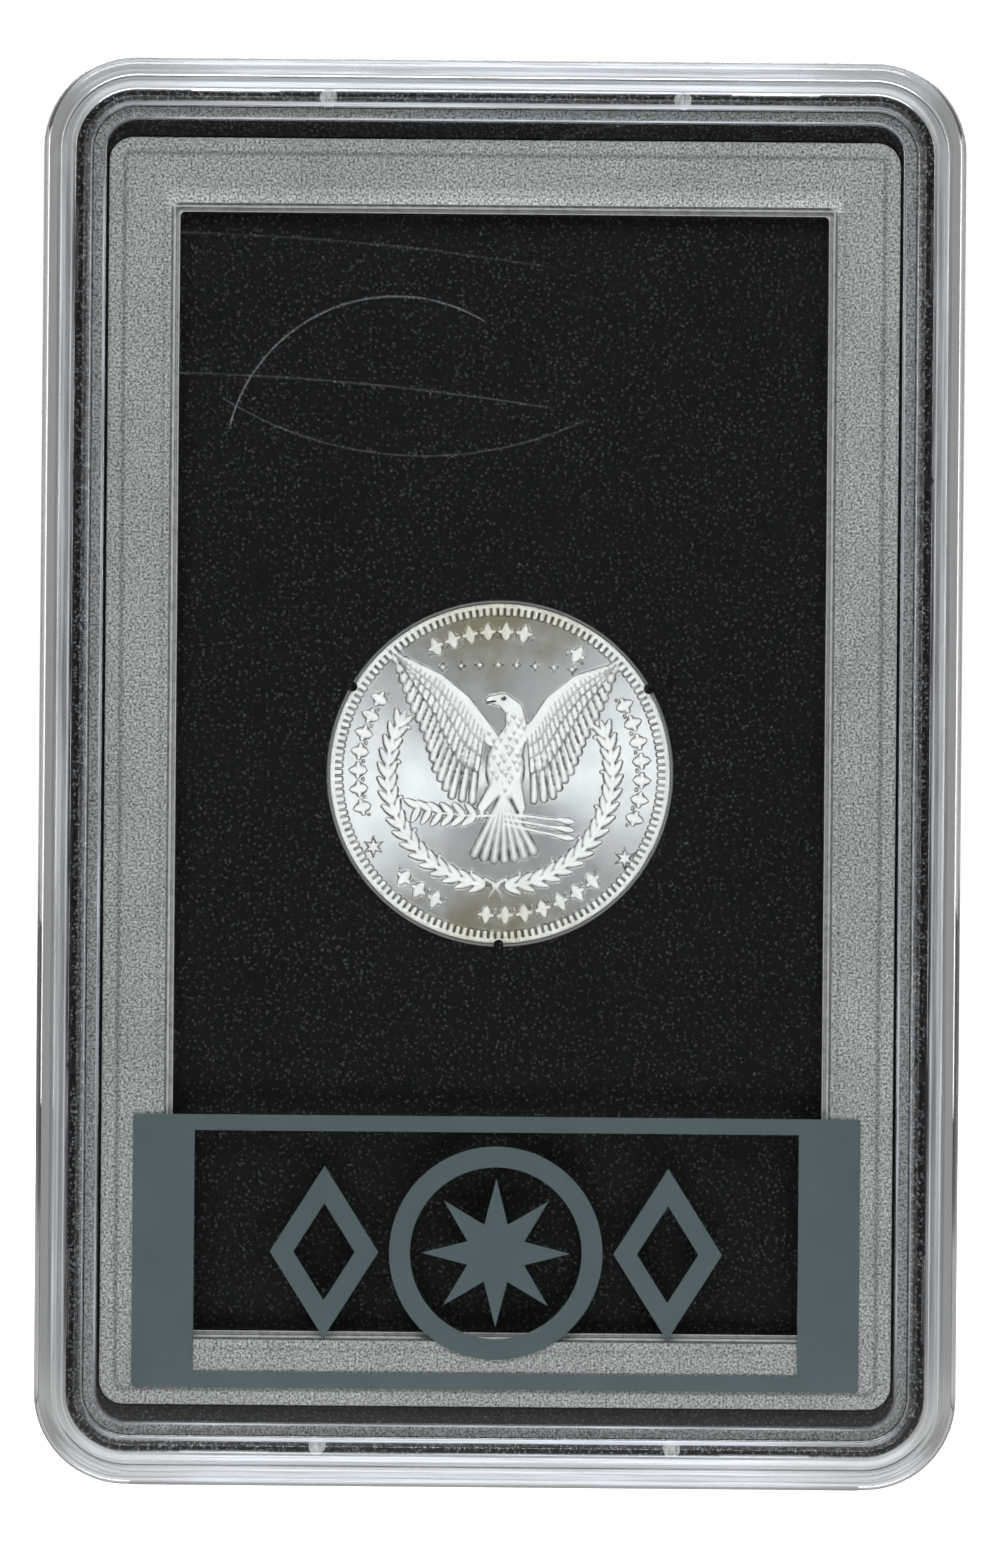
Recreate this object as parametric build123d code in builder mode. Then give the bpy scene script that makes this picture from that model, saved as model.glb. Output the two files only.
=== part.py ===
from build123d import *
import os

# Graded coin slab: a large silver coin held by two black insert plates in a small welded
# clear case, and that case held by a black gasket frame in a larger welded clear slab.
#
# The slab stands on its short lower edge. +Z is up, +X is to the right, and the back face
# looks along -Y. The origin is the middle of the lower edge, at half the slab's thickness.
#
# Every piece is drawn on FACE, an upright plane through the coin's mid-thickness. A depth
# is measured from that plane, positive towards the back face and negative towards the
# front face. An inset is measured inwards from the outline of the slab or of the case.

# --- Coin ---------------------------------------------------------------------------
COIN_DIAMETER = 38.1
COIN_THICKNESS = 2.4
COIN_RIM_WIDTH = 1.3
COIN_FIELD_DROP = 0.1
COIN_EDGE_ROUND = 0.12
COIN_STAR_RADIUS = 12.0
COIN_STAR_WAIST = 5.0

# --- Black insert plates that hold the coin between them ------------------------------
COIN_RADIAL_GAP = 0.22
COIN_FACE_GAP = 0.08
PRONG_THICKNESS = 0.45
PRONG_WIDTH = 1.1
PRONG_REACH = 0.6
PRONG_ROOT = 0.8
PRONG_COUNT = 3
PRONG_FIRST_ANGLE = 30
INSERT_LAP = 2.1
INSERT_CORNER = 0.6

# --- Foil ornament on the front insert ------------------------------------------------
FOIL_THICKNESS = 0.05
FOIL_LINE_WIDTH = 0.5
FOIL_LINE_MARGIN = 4.5
FOIL_STAR_RADIUS = 5.0
FOIL_STAR_WAIST = 2.0
FOIL_STAR_RISE = 41.0
FOIL_LOZENGE_WIDTH = 3.2
FOIL_LOZENGE_HEIGHT = 2.0
FOIL_LOZENGE_PITCH = 6.0
FOIL_LOZENGE_PAIRS = 3

# --- Inner case -----------------------------------------------------------------------
CASE_WINDOW_WIDTH = 72.8
CASE_WINDOW_HEIGHT = 124.8
CASE_WINDOW_PLATE = 1.85
CASE_WINDOW_CORNER = 0.6
CASE_WINDOW_SLOPE = 0.4
CASE_WINDOW_BLOCK_LAP = 0.9
CASE_BORDER_SIDE = 7.4
CASE_BORDER_END = 7.7
CASE_BORDER_RISE = 1.0
CASE_BORDER_PLATE = 1.6
CASE_CORNER = 2.7
CASE_WALL = 2.0
CASE_EDGE_ROUND = 0.3
INSERT_FACE_GAP = 0.15
INSERT_EDGE_GAP = 0.2
INSERT_RIB = 0.9

# --- Gasket frame that centres the case in the slab ------------------------------------
CASE_GAP = 0.3
GASKET_SIDE = 3.35
GASKET_END = 4.95
GASKET_FLANGE = 1.55
GASKET_LEDGE = 0.7
GASKET_LEDGE_REACH = 1.0
RIB_FOOT_DROP = 1.6
PIN_MARK_DIAMETER = 1.4
PIN_MARK_DEPTH = 0.12
PIN_MARK_SIDE_SPREAD = 65.4
PIN_MARK_END_SPREAD = 39.2

# --- Slab shells -----------------------------------------------------------------------
FIT_GAP = 0.1
SLAB_WALL = 1.75
TONGUE = 1.5
TONGUE_RISE = 3.4
PARTING_GAP = 0.12
KEY_DEPTH = 0.3
KEY_LENGTH = 9.6
KEY_FROM_CORNER = 21.0
WINDOW_PLATE = 2.0
SLAB_CORNER = 10.2
RIM_WIDTH = 4.5
RIM_SLOPE = 0.75
RIM_RISE = 1.1
RIM_OUTER_ROUND = 1.2
CENTRING_RIB = 1.6
STACK_GAP = 0.2
RIDGE_CREST = 0.9
RIDGE_INNER_SLOPE = 0.6
FRONT_OUTER_ROUND = 0.9
CASE_BACK_GAP = 0.25

# --- Ink panel inside the back window ----------------------------------------------------
INK_THICKNESS = 0.08
PANEL_SIDE_MARGIN = 3.6
PANEL_END_MARGIN = 1.95
PANEL_HEIGHT = 30.2
PANEL_CORNER = 0.4
PANEL_BAR_SIDE = 6.8
PANEL_BAR_END = 1.75
EMBLEM_RING_RADIUS = 11.8
EMBLEM_RING_WIDTH = 2.3
EMBLEM_STAR_RADIUS = 8.2
EMBLEM_STAR_WAIST = 3.4
EMBLEM_STAR_POINTS = 8
EMBLEM_LOZENGE_GAP = 1.2
EMBLEM_LOZENGE_WIDTH = 12.0
EMBLEM_LOZENGE_HEIGHT = 19.0
EMBLEM_LOZENGE_LINE = 2.6

# --- Label card behind the front window ----------------------------------------------------
CARD_THICKNESS = 0.3
CARD_HEIGHT = 28.5
CARD_GAP = 0.2
CARD_PRINT_THICKNESS = 0.05
CARD_PRINT_MARGIN = 2.2
CARD_BAND_HEIGHT = 5.0
CARD_LINE_HEIGHT = 1.5
CARD_LINE_PITCH = 4.2
CARD_LINE_LENGTHS = (34.0, 27.0, 30.5)
CARD_TABLE_WIDTH = 24.0
CARD_TABLE_CELL_GAP = 0.8
LABEL_RIB_WIDTH = 0.9
LABEL_RIB_DEPTH = 0.45

# --- Sizes that follow, from the coin outwards ------------------------------------------------
COIN_FACE = COIN_THICKNESS / 2
COIN_HOLE_RADIUS = COIN_DIAMETER / 2 + COIN_RADIAL_GAP
PRONG_FACE = COIN_FACE + COIN_FACE_GAP
INSERT_FACE = PRONG_FACE + PRONG_THICKNESS
INSERT_WIDTH = CASE_WINDOW_WIDTH + 2 * INSERT_LAP
INSERT_HEIGHT = CASE_WINDOW_HEIGHT + 2 * INSERT_LAP

CASE_WIDTH = CASE_WINDOW_WIDTH + 2 * CASE_BORDER_SIDE
CASE_HEIGHT = CASE_WINDOW_HEIGHT + 2 * CASE_BORDER_END
CASE_WINDOW_INSIDE = INSERT_FACE + INSERT_FACE_GAP
CASE_WINDOW_OUTSIDE = CASE_WINDOW_INSIDE + CASE_WINDOW_PLATE
CASE_FACE = CASE_WINDOW_OUTSIDE + CASE_BORDER_RISE
CASE_BORDER_INSIDE = CASE_FACE - CASE_BORDER_PLATE

TONGUE_OUTSIDE = SLAB_WALL + FIT_GAP
TONGUE_INSIDE = TONGUE_OUTSIDE + TONGUE
GASKET_OUTSIDE = TONGUE_INSIDE + FIT_GAP
RIB_OUTSIDE = GASKET_OUTSIDE + GASKET_FLANGE + FIT_GAP
RIB_INSIDE = RIB_OUTSIDE + CENTRING_RIB
SIDE_BORDER = GASKET_OUTSIDE + GASKET_SIDE + CASE_GAP
END_BORDER = GASKET_OUTSIDE + GASKET_END + CASE_GAP
SLAB_WIDTH = CASE_WIDTH + 2 * SIDE_BORDER
SLAB_HEIGHT = CASE_HEIGHT + 2 * END_BORDER

BACK_INSIDE = CASE_FACE + CASE_BACK_GAP
BACK_WINDOW = BACK_INSIDE + WINDOW_PLATE
BACK_RIM = BACK_WINDOW + RIM_RISE
FRONT_INSIDE = CASE_FACE + FIT_GAP + GASKET_LEDGE + FIT_GAP
FRONT_WINDOW = FRONT_INSIDE + WINDOW_PLATE
RIDGE_RISE = RIM_RISE - STACK_GAP
FRONT_RIDGE = FRONT_WINDOW + RIDGE_RISE
RIDGE_OUTSIDE = RIM_WIDTH + STACK_GAP
RIDGE_CREST_OUTSIDE = RIDGE_OUTSIDE + RIM_SLOPE
RIDGE_CREST_INSIDE = RIDGE_CREST_OUTSIDE + RIDGE_CREST
RIDGE_INSIDE = RIDGE_CREST_INSIDE + RIDGE_INNER_SLOPE
RIB_FOOT = BACK_INSIDE - RIB_FOOT_DROP

PANEL_WIDTH = CASE_WIDTH - 2 * PANEL_SIDE_MARGIN
PANEL_DROP = CASE_HEIGHT / 2 - PANEL_END_MARGIN - PANEL_HEIGHT / 2
CARD_WIDTH = CASE_WIDTH - 2 * (GASKET_LEDGE_REACH + CARD_GAP)
CARD_DROP = CASE_HEIGHT / 2 - GASKET_LEDGE_REACH - CARD_GAP - CARD_HEIGHT / 2
CARD_CORNER = max(CASE_CORNER - GASKET_LEDGE_REACH, CASE_WINDOW_CORNER)
CARD_PRINT_FACE = FRONT_INSIDE - FIT_GAP
CARD_FACE = CARD_PRINT_FACE - CARD_PRINT_THICKNESS
LABEL_RIB_RISE = CARD_HEIGHT / 2 + CARD_GAP + LABEL_RIB_WIDTH / 2

# --- Planes -------------------------------------------------------------------------------------
MID_Y = (BACK_RIM - FRONT_RIDGE) / 2


def upright_plane(rise):
    """The plane through the coin's mid-thickness, looking along -Y, rise above the coin's centre."""
    return Plane(origin=(0, MID_Y, SLAB_HEIGHT / 2 + rise), x_dir=(1, 0, 0), z_dir=(0, -1, 0))


FACE = upright_plane(0)
PANEL = upright_plane(-PANEL_DROP)
LABEL = upright_plane(-CARD_DROP)


def slab_outline(inset):
    """Draws the slab's outline, moved inwards by inset, in the current sketch."""
    RectangleRounded(
        SLAB_WIDTH - 2 * inset,
        SLAB_HEIGHT - 2 * inset,
        max(SLAB_CORNER - inset, CASE_CORNER + CASE_GAP),
    )


def case_outline(inset):
    """Draws the inner case's outline, moved inwards by inset (outwards where it is negative)."""
    RectangleRounded(
        CASE_WIDTH - 2 * inset,
        CASE_HEIGHT - 2 * inset,
        max(CASE_CORNER - inset, CASE_WINDOW_CORNER),
    )


def window_outline(lap):
    """Draws the case's window, made larger by lap on every side."""
    RectangleRounded(
        CASE_WINDOW_WIDTH + 2 * lap,
        CASE_WINDOW_HEIGHT + 2 * lap,
        CASE_WINDOW_CORNER + max(lap, 0),
    )


def prism(outline, size, low, high, mode=Mode.ADD):
    """Extrudes an outline from depth low to depth high in the current part."""
    with BuildSketch(FACE.offset(low)) as section:
        outline(size)
    extrude(section.sketch, amount=high - low, mode=mode)


def sloped_prism(outline, size_low, size_high, low, high, mode=Mode.ADD):
    """Like prism, but the outline changes from size_low at depth low to size_high at high."""
    with BuildSketch(FACE.offset(low)) as first:
        outline(size_low)
    with BuildSketch(FACE.offset(high)) as last:
        outline(size_high)
    loft([first.sketch.face(), last.sketch.face()], mode=mode)


def outer_edges(part, depth):
    """The edges of the outer loop of a part's largest flat face at a depth."""
    flat = part.faces().filter_by(Axis.Y).filter_by(
        lambda face: abs(face.center().Y - (MID_Y - depth)) < FIT_GAP / 2
    )
    return flat.sort_by(SortBy.AREA)[-1].outer_wire().edges()


def star(radius, waist, points=5):
    """Draws a star with its points at radius and its notches at waist."""
    tips = [Vector(radius, 0).rotate(Axis.Z, 90 + 360 * k / points) for k in range(points)]
    notches = [
        Vector(waist, 0).rotate(Axis.Z, 90 + 360 * (k + 0.5) / points)
        for k in range(points)
    ]
    Polygon(*[corner for pair in zip(tips, notches) for corner in pair], align=None)


def lozenge(width, height, mode=Mode.ADD):
    """Draws a diamond, standing on its point."""
    corners = (width / 2, 0), (0, height / 2), (-width / 2, 0), (0, -height / 2)
    Polygon(*corners, align=None, mode=mode)


def key_places():
    """The middles of the eight keys, on the slab's inner wall line, with their long direction."""
    across = SLAB_WIDTH / 2 - KEY_FROM_CORNER
    along = SLAB_HEIGHT / 2 - KEY_FROM_CORNER
    side = SLAB_WIDTH / 2 - TONGUE_INSIDE
    end = SLAB_HEIGHT / 2 - TONGUE_INSIDE
    level = [Location((x, y, 0)) for x in (-across, across) for y in (-end, end)]
    upright = [Location((x, y, 0), (0, 0, 90)) for x in (-side, side) for y in (-along, along)]
    return level + upright


def keys(length, depth_inwards, low, high, mode=Mode.ADD):
    """Adds the eight keys to the slab's inner wall, or cuts the notches that take them."""
    with BuildSketch(FACE.offset(low)) as section:
        with Locations(*key_places()):
            Rectangle(length, 2 * depth_inwards)
    extrude(section.sketch, amount=high - low, mode=mode)


def coin_insert(face_sign):
    """Makes one insert plate with its coin hole and its three prongs."""
    prism(window_outline, INSERT_LAP, 0, face_sign * INSERT_FACE)
    prism(Circle, COIN_HOLE_RADIUS, 0, face_sign * INSERT_FACE, Mode.SUBTRACT)
    prong_length = PRONG_ROOT + COIN_RADIAL_GAP + PRONG_REACH
    prong_middle = COIN_HOLE_RADIUS + PRONG_ROOT - prong_length / 2
    with BuildSketch(FACE.offset(face_sign * PRONG_FACE)) as prongs:
        with PolarLocations(prong_middle, PRONG_COUNT, start_angle=PRONG_FIRST_ANGLE):
            SlotOverall(prong_length, PRONG_WIDTH)
    extrude(prongs.sketch, amount=face_sign * PRONG_THICKNESS)


def case_shell(shell, face_sign):
    """Makes one half of the inner case: wall, border, thick window and the rib round the insert."""
    inside = face_sign * CASE_BORDER_INSIDE
    face = face_sign * CASE_FACE
    insert_room = INSERT_LAP + INSERT_EDGE_GAP
    prism(case_outline, 0, 0, face)
    fillet(outer_edges(shell.part, face), CASE_EDGE_ROUND)
    prism(case_outline, CASE_WALL, 0, inside, Mode.SUBTRACT)
    prism(window_outline, insert_room + INSERT_RIB, 0, inside)
    prism(window_outline, insert_room, 0, inside, Mode.SUBTRACT)
    prism(window_outline, CASE_WINDOW_BLOCK_LAP, face_sign * CASE_WINDOW_INSIDE, face)
    outside = face_sign * CASE_WINDOW_OUTSIDE
    sloped_prism(window_outline, 0, CASE_WINDOW_SLOPE, outside, face, Mode.SUBTRACT)


with BuildPart() as coin:
    prism(Circle, COIN_DIAMETER / 2, -COIN_FACE, COIN_FACE)
    fillet(coin.edges().filter_by(GeomType.CIRCLE), COIN_EDGE_ROUND)
    for side in (-1, 1):
        field = side * (COIN_FACE - COIN_FIELD_DROP)
        prism(Circle, COIN_DIAMETER / 2 - COIN_RIM_WIDTH, field, side * COIN_FACE, Mode.SUBTRACT)
        with BuildSketch(FACE.offset(field)):
            star(COIN_STAR_RADIUS, COIN_STAR_WAIST)
        extrude(amount=side * COIN_FIELD_DROP)

with BuildPart() as coin_insert_back:
    coin_insert(1)

with BuildPart() as coin_insert_front:
    coin_insert(-1)

with BuildPart() as insert_foil_stamp:
    with BuildSketch(FACE.offset(-INSERT_FACE)):
        window_outline(-FOIL_LINE_MARGIN)
        offset(amount=-FOIL_LINE_WIDTH, mode=Mode.SUBTRACT)
        with Locations((0, FOIL_STAR_RISE)):
            star(FOIL_STAR_RADIUS, FOIL_STAR_WAIST)
            for pair in range(1, FOIL_LOZENGE_PAIRS + 1):
                reach = FOIL_STAR_RADIUS + pair * FOIL_LOZENGE_PITCH
                with Locations((-reach, 0), (reach, 0)):
                    lozenge(FOIL_LOZENGE_WIDTH, FOIL_LOZENGE_HEIGHT)
    extrude(amount=-FOIL_THICKNESS)

with BuildPart() as case_back_shell:
    case_shell(case_back_shell, 1)

with BuildPart() as case_front_shell:
    case_shell(case_front_shell, -1)

with BuildPart() as gasket_frame:
    ledge_back = -(CASE_FACE + FIT_GAP)
    gasket_front = -(FRONT_INSIDE - FIT_GAP)
    gasket_back = BACK_INSIDE - FIT_GAP
    prism(slab_outline, GASKET_OUTSIDE, gasket_front, gasket_back)
    prism(slab_outline, GASKET_OUTSIDE + GASKET_FLANGE, RIB_FOOT, gasket_back, Mode.SUBTRACT)
    prism(case_outline, GASKET_LEDGE_REACH, gasket_front, ledge_back, Mode.SUBTRACT)
    prism(case_outline, -CASE_GAP, ledge_back, gasket_back, Mode.SUBTRACT)
    keys(KEY_LENGTH + 2 * FIT_GAP, KEY_DEPTH + FIT_GAP, gasket_front, gasket_back, Mode.SUBTRACT)
    mark_inset = GASKET_OUTSIDE + GASKET_FLANGE / 2
    mark_side = SLAB_WIDTH / 2 - mark_inset
    mark_end = SLAB_HEIGHT / 2 - mark_inset
    with BuildSketch(FACE.offset(gasket_back)):
        with GridLocations(2 * mark_side, PIN_MARK_SIDE_SPREAD, 2, 2):
            Circle(PIN_MARK_DIAMETER / 2)
        with GridLocations(PIN_MARK_END_SPREAD, 2 * mark_end, 2, 2):
            Circle(PIN_MARK_DIAMETER / 2)
    extrude(amount=-PIN_MARK_DEPTH, mode=Mode.SUBTRACT)

with BuildPart() as slab_front_shell:
    prism(slab_outline, 0, -FRONT_WINDOW, 0)
    fillet(outer_edges(slab_front_shell.part, -FRONT_WINDOW), FRONT_OUTER_ROUND)
    prism(slab_outline, TONGUE_OUTSIDE, -FRONT_INSIDE, TONGUE_RISE)
    prism(slab_outline, TONGUE_INSIDE, -FRONT_INSIDE, TONGUE_RISE, Mode.SUBTRACT)
    keys(KEY_LENGTH, KEY_DEPTH, -FRONT_INSIDE, TONGUE_RISE)
    ridge = -FRONT_WINDOW, -FRONT_RIDGE
    sloped_prism(slab_outline, RIDGE_OUTSIDE, RIDGE_CREST_OUTSIDE, *ridge)
    sloped_prism(slab_outline, RIDGE_INSIDE, RIDGE_CREST_INSIDE, *ridge, Mode.SUBTRACT)
    with BuildSketch(LABEL.offset(-FRONT_INSIDE)):
        with Locations((0, LABEL_RIB_RISE)):
            Rectangle(CARD_WIDTH, LABEL_RIB_WIDTH)
    extrude(amount=LABEL_RIB_DEPTH)

with BuildPart() as slab_back_shell:
    prism(slab_outline, 0, PARTING_GAP, BACK_RIM)
    fillet(outer_edges(slab_back_shell.part, BACK_RIM), RIM_OUTER_ROUND)
    prism(slab_outline, SLAB_WALL, PARTING_GAP, TONGUE_RISE, Mode.SUBTRACT)
    prism(slab_outline, TONGUE_INSIDE, TONGUE_RISE, BACK_INSIDE, Mode.SUBTRACT)
    rim = BACK_WINDOW, BACK_RIM
    sloped_prism(slab_outline, RIM_WIDTH + RIM_SLOPE, RIM_WIDTH, *rim, Mode.SUBTRACT)
    prism(slab_outline, RIB_OUTSIDE, RIB_FOOT + FIT_GAP, BACK_INSIDE)
    prism(slab_outline, RIB_INSIDE, RIB_FOOT + FIT_GAP, BACK_INSIDE, Mode.SUBTRACT)

with BuildPart() as back_panel_print:
    with BuildSketch(PANEL.offset(BACK_INSIDE - INK_THICKNESS)):
        RectangleRounded(PANEL_WIDTH, PANEL_HEIGHT, PANEL_CORNER)
        Rectangle(
            PANEL_WIDTH - 2 * PANEL_BAR_SIDE,
            PANEL_HEIGHT - 2 * PANEL_BAR_END,
            mode=Mode.SUBTRACT,
        )
        Circle(EMBLEM_RING_RADIUS)
        Circle(EMBLEM_RING_RADIUS - EMBLEM_RING_WIDTH, mode=Mode.SUBTRACT)
        star(EMBLEM_STAR_RADIUS, EMBLEM_STAR_WAIST, EMBLEM_STAR_POINTS)
        reach = EMBLEM_RING_RADIUS + EMBLEM_LOZENGE_GAP + EMBLEM_LOZENGE_WIDTH / 2
        with Locations((-reach, 0), (reach, 0)):
            lozenge(EMBLEM_LOZENGE_WIDTH, EMBLEM_LOZENGE_HEIGHT)
            hole = 1 - 2 * EMBLEM_LOZENGE_LINE / EMBLEM_LOZENGE_WIDTH
            lozenge(EMBLEM_LOZENGE_WIDTH * hole, EMBLEM_LOZENGE_HEIGHT * hole, Mode.SUBTRACT)
    extrude(amount=INK_THICKNESS)

with BuildPart() as label_card:
    with BuildSketch(LABEL.offset(-CARD_FACE)):
        RectangleRounded(CARD_WIDTH, CARD_HEIGHT, CARD_CORNER)
    extrude(amount=CARD_THICKNESS)

with BuildPart() as label_card_print:
    print_width = CARD_WIDTH - 2 * CARD_PRINT_MARGIN
    print_height = CARD_HEIGHT - 2 * CARD_PRINT_MARGIN
    with BuildSketch(LABEL.offset(-CARD_FACE)):
        with Locations((0, (print_height - CARD_BAND_HEIGHT) / 2)):
            Rectangle(print_width, CARD_BAND_HEIGHT)
        for line, length in enumerate(CARD_LINE_LENGTHS, 1):
            rise = print_height / 2 - CARD_BAND_HEIGHT - line * CARD_LINE_PITCH
            with Locations((print_width / 2 - length / 2, rise)):
                Rectangle(length, CARD_LINE_HEIGHT)
        table_rows = len(CARD_LINE_LENGTHS)
        table_x = -(print_width - CARD_TABLE_WIDTH) / 2
        cell_height = CARD_LINE_PITCH - CARD_TABLE_CELL_GAP
        table_y = print_height / 2 - CARD_BAND_HEIGHT - (table_rows + 1) / 2 * CARD_LINE_PITCH
        with Locations((table_x, table_y)):
            with GridLocations(CARD_TABLE_WIDTH / 3, CARD_LINE_PITCH, 3, table_rows):
                Rectangle(CARD_TABLE_WIDTH / 3 - CARD_TABLE_CELL_GAP, cell_height)
    extrude(amount=-CARD_PRINT_THICKNESS)

SUB_PARTS = {
    "coin": coin,
    "coin_insert_back": coin_insert_back,
    "coin_insert_front": coin_insert_front,
    "insert_foil_stamp": insert_foil_stamp,
    "case_back_shell": case_back_shell,
    "case_front_shell": case_front_shell,
    "gasket_frame": gasket_frame,
    "slab_front_shell": slab_front_shell,
    "slab_back_shell": slab_back_shell,
    "back_panel_print": back_panel_print,
    "label_card": label_card,
    "label_card_print": label_card_print,
}

os.makedirs("parts", exist_ok=True)
for name, sub_part in SUB_PARTS.items():
    sub_part.part.label = name
    export_step(sub_part.part, f"parts/{name}.step")

print(f"slab {SLAB_WIDTH:.2f} x {SLAB_HEIGHT:.2f} x {BACK_RIM + FRONT_RIDGE:.2f} mm")
print(f"case {CASE_WIDTH:.2f} x {CASE_HEIGHT:.2f} x {2 * CASE_FACE:.2f} mm, MID_Y {MID_Y:.3f}")
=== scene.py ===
import math

import bmesh
import bpy
import numpy as np
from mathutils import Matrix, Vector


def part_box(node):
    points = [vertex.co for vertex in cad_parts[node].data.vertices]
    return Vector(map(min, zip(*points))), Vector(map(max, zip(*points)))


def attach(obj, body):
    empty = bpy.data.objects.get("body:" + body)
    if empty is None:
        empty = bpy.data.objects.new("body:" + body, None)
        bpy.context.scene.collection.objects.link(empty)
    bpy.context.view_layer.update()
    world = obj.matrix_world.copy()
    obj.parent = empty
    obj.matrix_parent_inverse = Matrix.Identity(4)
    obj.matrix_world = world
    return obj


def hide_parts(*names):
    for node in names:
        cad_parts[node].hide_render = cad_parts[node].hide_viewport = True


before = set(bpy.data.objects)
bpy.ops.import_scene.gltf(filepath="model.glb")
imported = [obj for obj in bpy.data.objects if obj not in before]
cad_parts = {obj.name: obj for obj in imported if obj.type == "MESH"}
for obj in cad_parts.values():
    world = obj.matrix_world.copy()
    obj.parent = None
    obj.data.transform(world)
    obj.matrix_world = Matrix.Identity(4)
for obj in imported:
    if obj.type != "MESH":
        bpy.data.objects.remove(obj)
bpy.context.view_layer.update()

# --- Where things are: millimetres, measured from the middle of the coin ---------------------
# A place on the slab is (across, rise, depth): across to the right, rise upwards, and depth
# towards the shown back face, which looks along -Y.
MM = 0.001
COIN_LOW, COIN_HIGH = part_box("coin")
CENTRE = (COIN_LOW + COIN_HIGH) / 2


def extent(node, axis):
    """A CAD node's size along an axis, in millimetres."""
    low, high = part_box(node)
    return (high[axis] - low[axis]) / MM


def depth_range(node):
    """A CAD node's least and greatest depth, in millimetres."""
    low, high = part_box(node)
    return (CENTRE.y - high.y) / MM, (CENTRE.y - low.y) / MM


def to_world(across, rise, depth):
    return (CENTRE.x + across * MM, CENTRE.y - depth * MM, CENTRE.z + rise * MM)


SLAB_WIDTH = extent("slab_back_shell", 0)
SLAB_HEIGHT = extent("slab_back_shell", 2)
CASE_WIDTH = extent("case_back_shell", 0)
CASE_HEIGHT = extent("case_back_shell", 2)
CASE_FACE = depth_range("case_back_shell")[1]
PARTING_GAP, BACK_RIM = depth_range("slab_back_shell")
FRONT_RIDGE, TONGUE_RISE = depth_range("slab_front_shell")
COIN_RADIUS = extent("coin", 0) / 2
COIN_FACE = extent("coin", 1) / 2
INSERT_FACE = depth_range("coin_insert_back")[1]

# --- Sections of the shells, as in the CAD model ------------------------------------------------
SLAB_CORNER = 10.2
SLAB_WALL = 1.75
FIT_GAP = 0.1
TONGUE_INSIDE = 3.35
RIB_OUTSIDE = 5.1
RIB_INSIDE = 6.7
RIB_DROP = 1.5
WINDOW_PLATE = 2.0
RIM_RISE = 1.1
RIM_WIDTH = 4.5
RIM_SLOPE = 0.75
RIM_ROUND = 1.2
RIDGE_RISE = 0.9
RIDGE_OUTSIDE = 4.7
RIDGE_CREST = 0.9
RIDGE_INNER_SLOPE = 0.6
FRONT_ROUND = 0.9
EDGE_ROUND = 0.14
WELD_GAP = 0.02
KEY_LENGTH = 9.6
KEY_DEPTH = 0.3
KEY_FROM_CORNER = 21.0
KEY_ROUND = 0.06
PIN_MARK_INSET = 0.775
PIN_MARK_RADIUS = 0.95
PIN_MARK_ACROSS = 19.6
PIN_MARK_RISE = 32.7
PIN_MARK_STEPS = 32
LABEL_RIB_WIDTH = 0.9
LABEL_RIB_DEPTH = 0.45
LABEL_RIB_GAP = 0.2
LABEL_RIB_ROUND = 0.1

CASE_CORNER = 2.7
CASE_WALL = 2.0
CASE_BORDER_SIDE = 7.4
CASE_BORDER_END = 7.7
CASE_BORDER_RISE = 1.0
CASE_BORDER_PLATE = 1.6
CASE_ROUND = 0.3
CASE_WINDOW_CORNER = 0.6
CASE_WINDOW_SLOPE = 0.4
CASE_WINDOW_LAP = 0.9
BEAD_WIDTH = 0.45
BEAD_RISE = 0.16
INSERT_ROOM = 2.3
INSERT_RIB = 0.9
INSERT_FACE_GAP = 0.15

BACK_WINDOW = BACK_RIM - RIM_RISE
BACK_INSIDE = BACK_WINDOW - WINDOW_PLATE
FRONT_WINDOW = FRONT_RIDGE + RIDGE_RISE
FRONT_INSIDE = FRONT_WINDOW + WINDOW_PLATE
CASE_WINDOW_INSIDE = INSERT_FACE + INSERT_FACE_GAP
CASE_WINDOW_OUTSIDE = CASE_FACE - CASE_BORDER_RISE

# --- Mesh helpers ------------------------------------------------------------------------------
CORNER_STEPS = 14
SHARP_ANGLE = math.radians(32)


def slab_loop(inset):
    """Half sizes and corner radius of the slab's outline, moved inwards."""
    corner = max(SLAB_CORNER - inset, CASE_CORNER + 0.3)
    return SLAB_WIDTH / 2 - inset, SLAB_HEIGHT / 2 - inset, corner


def case_loop(inset):
    """Half sizes and corner radius of the inner case's outline, moved inwards."""
    corner = max(CASE_CORNER - inset, CASE_WINDOW_CORNER)
    return CASE_WIDTH / 2 - inset, CASE_HEIGHT / 2 - inset, corner


def window_loop(lap):
    """Half sizes and corner radius of the inner case's window, made larger by lap."""
    half_width = CASE_WIDTH / 2 - CASE_BORDER_SIDE + lap
    half_height = CASE_HEIGHT / 2 - CASE_BORDER_END + lap
    return half_width, half_height, CASE_WINDOW_CORNER + max(lap, 0)


def loop_points(loop):
    """Points round a rounded rectangle, as (across, rise)."""
    half_width, half_height, corner = loop
    points = []
    for quarter, (sx, sz) in enumerate(((1, 1), (-1, 1), (-1, -1), (1, -1))):
        for step in range(CORNER_STEPS + 1):
            angle = math.pi / 2 * (quarter + step / CORNER_STEPS)
            across = sx * (half_width - corner) + corner * math.cos(angle)
            rise = sz * (half_height - corner) + corner * math.sin(angle)
            points.append((across, rise))
    return points


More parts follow.
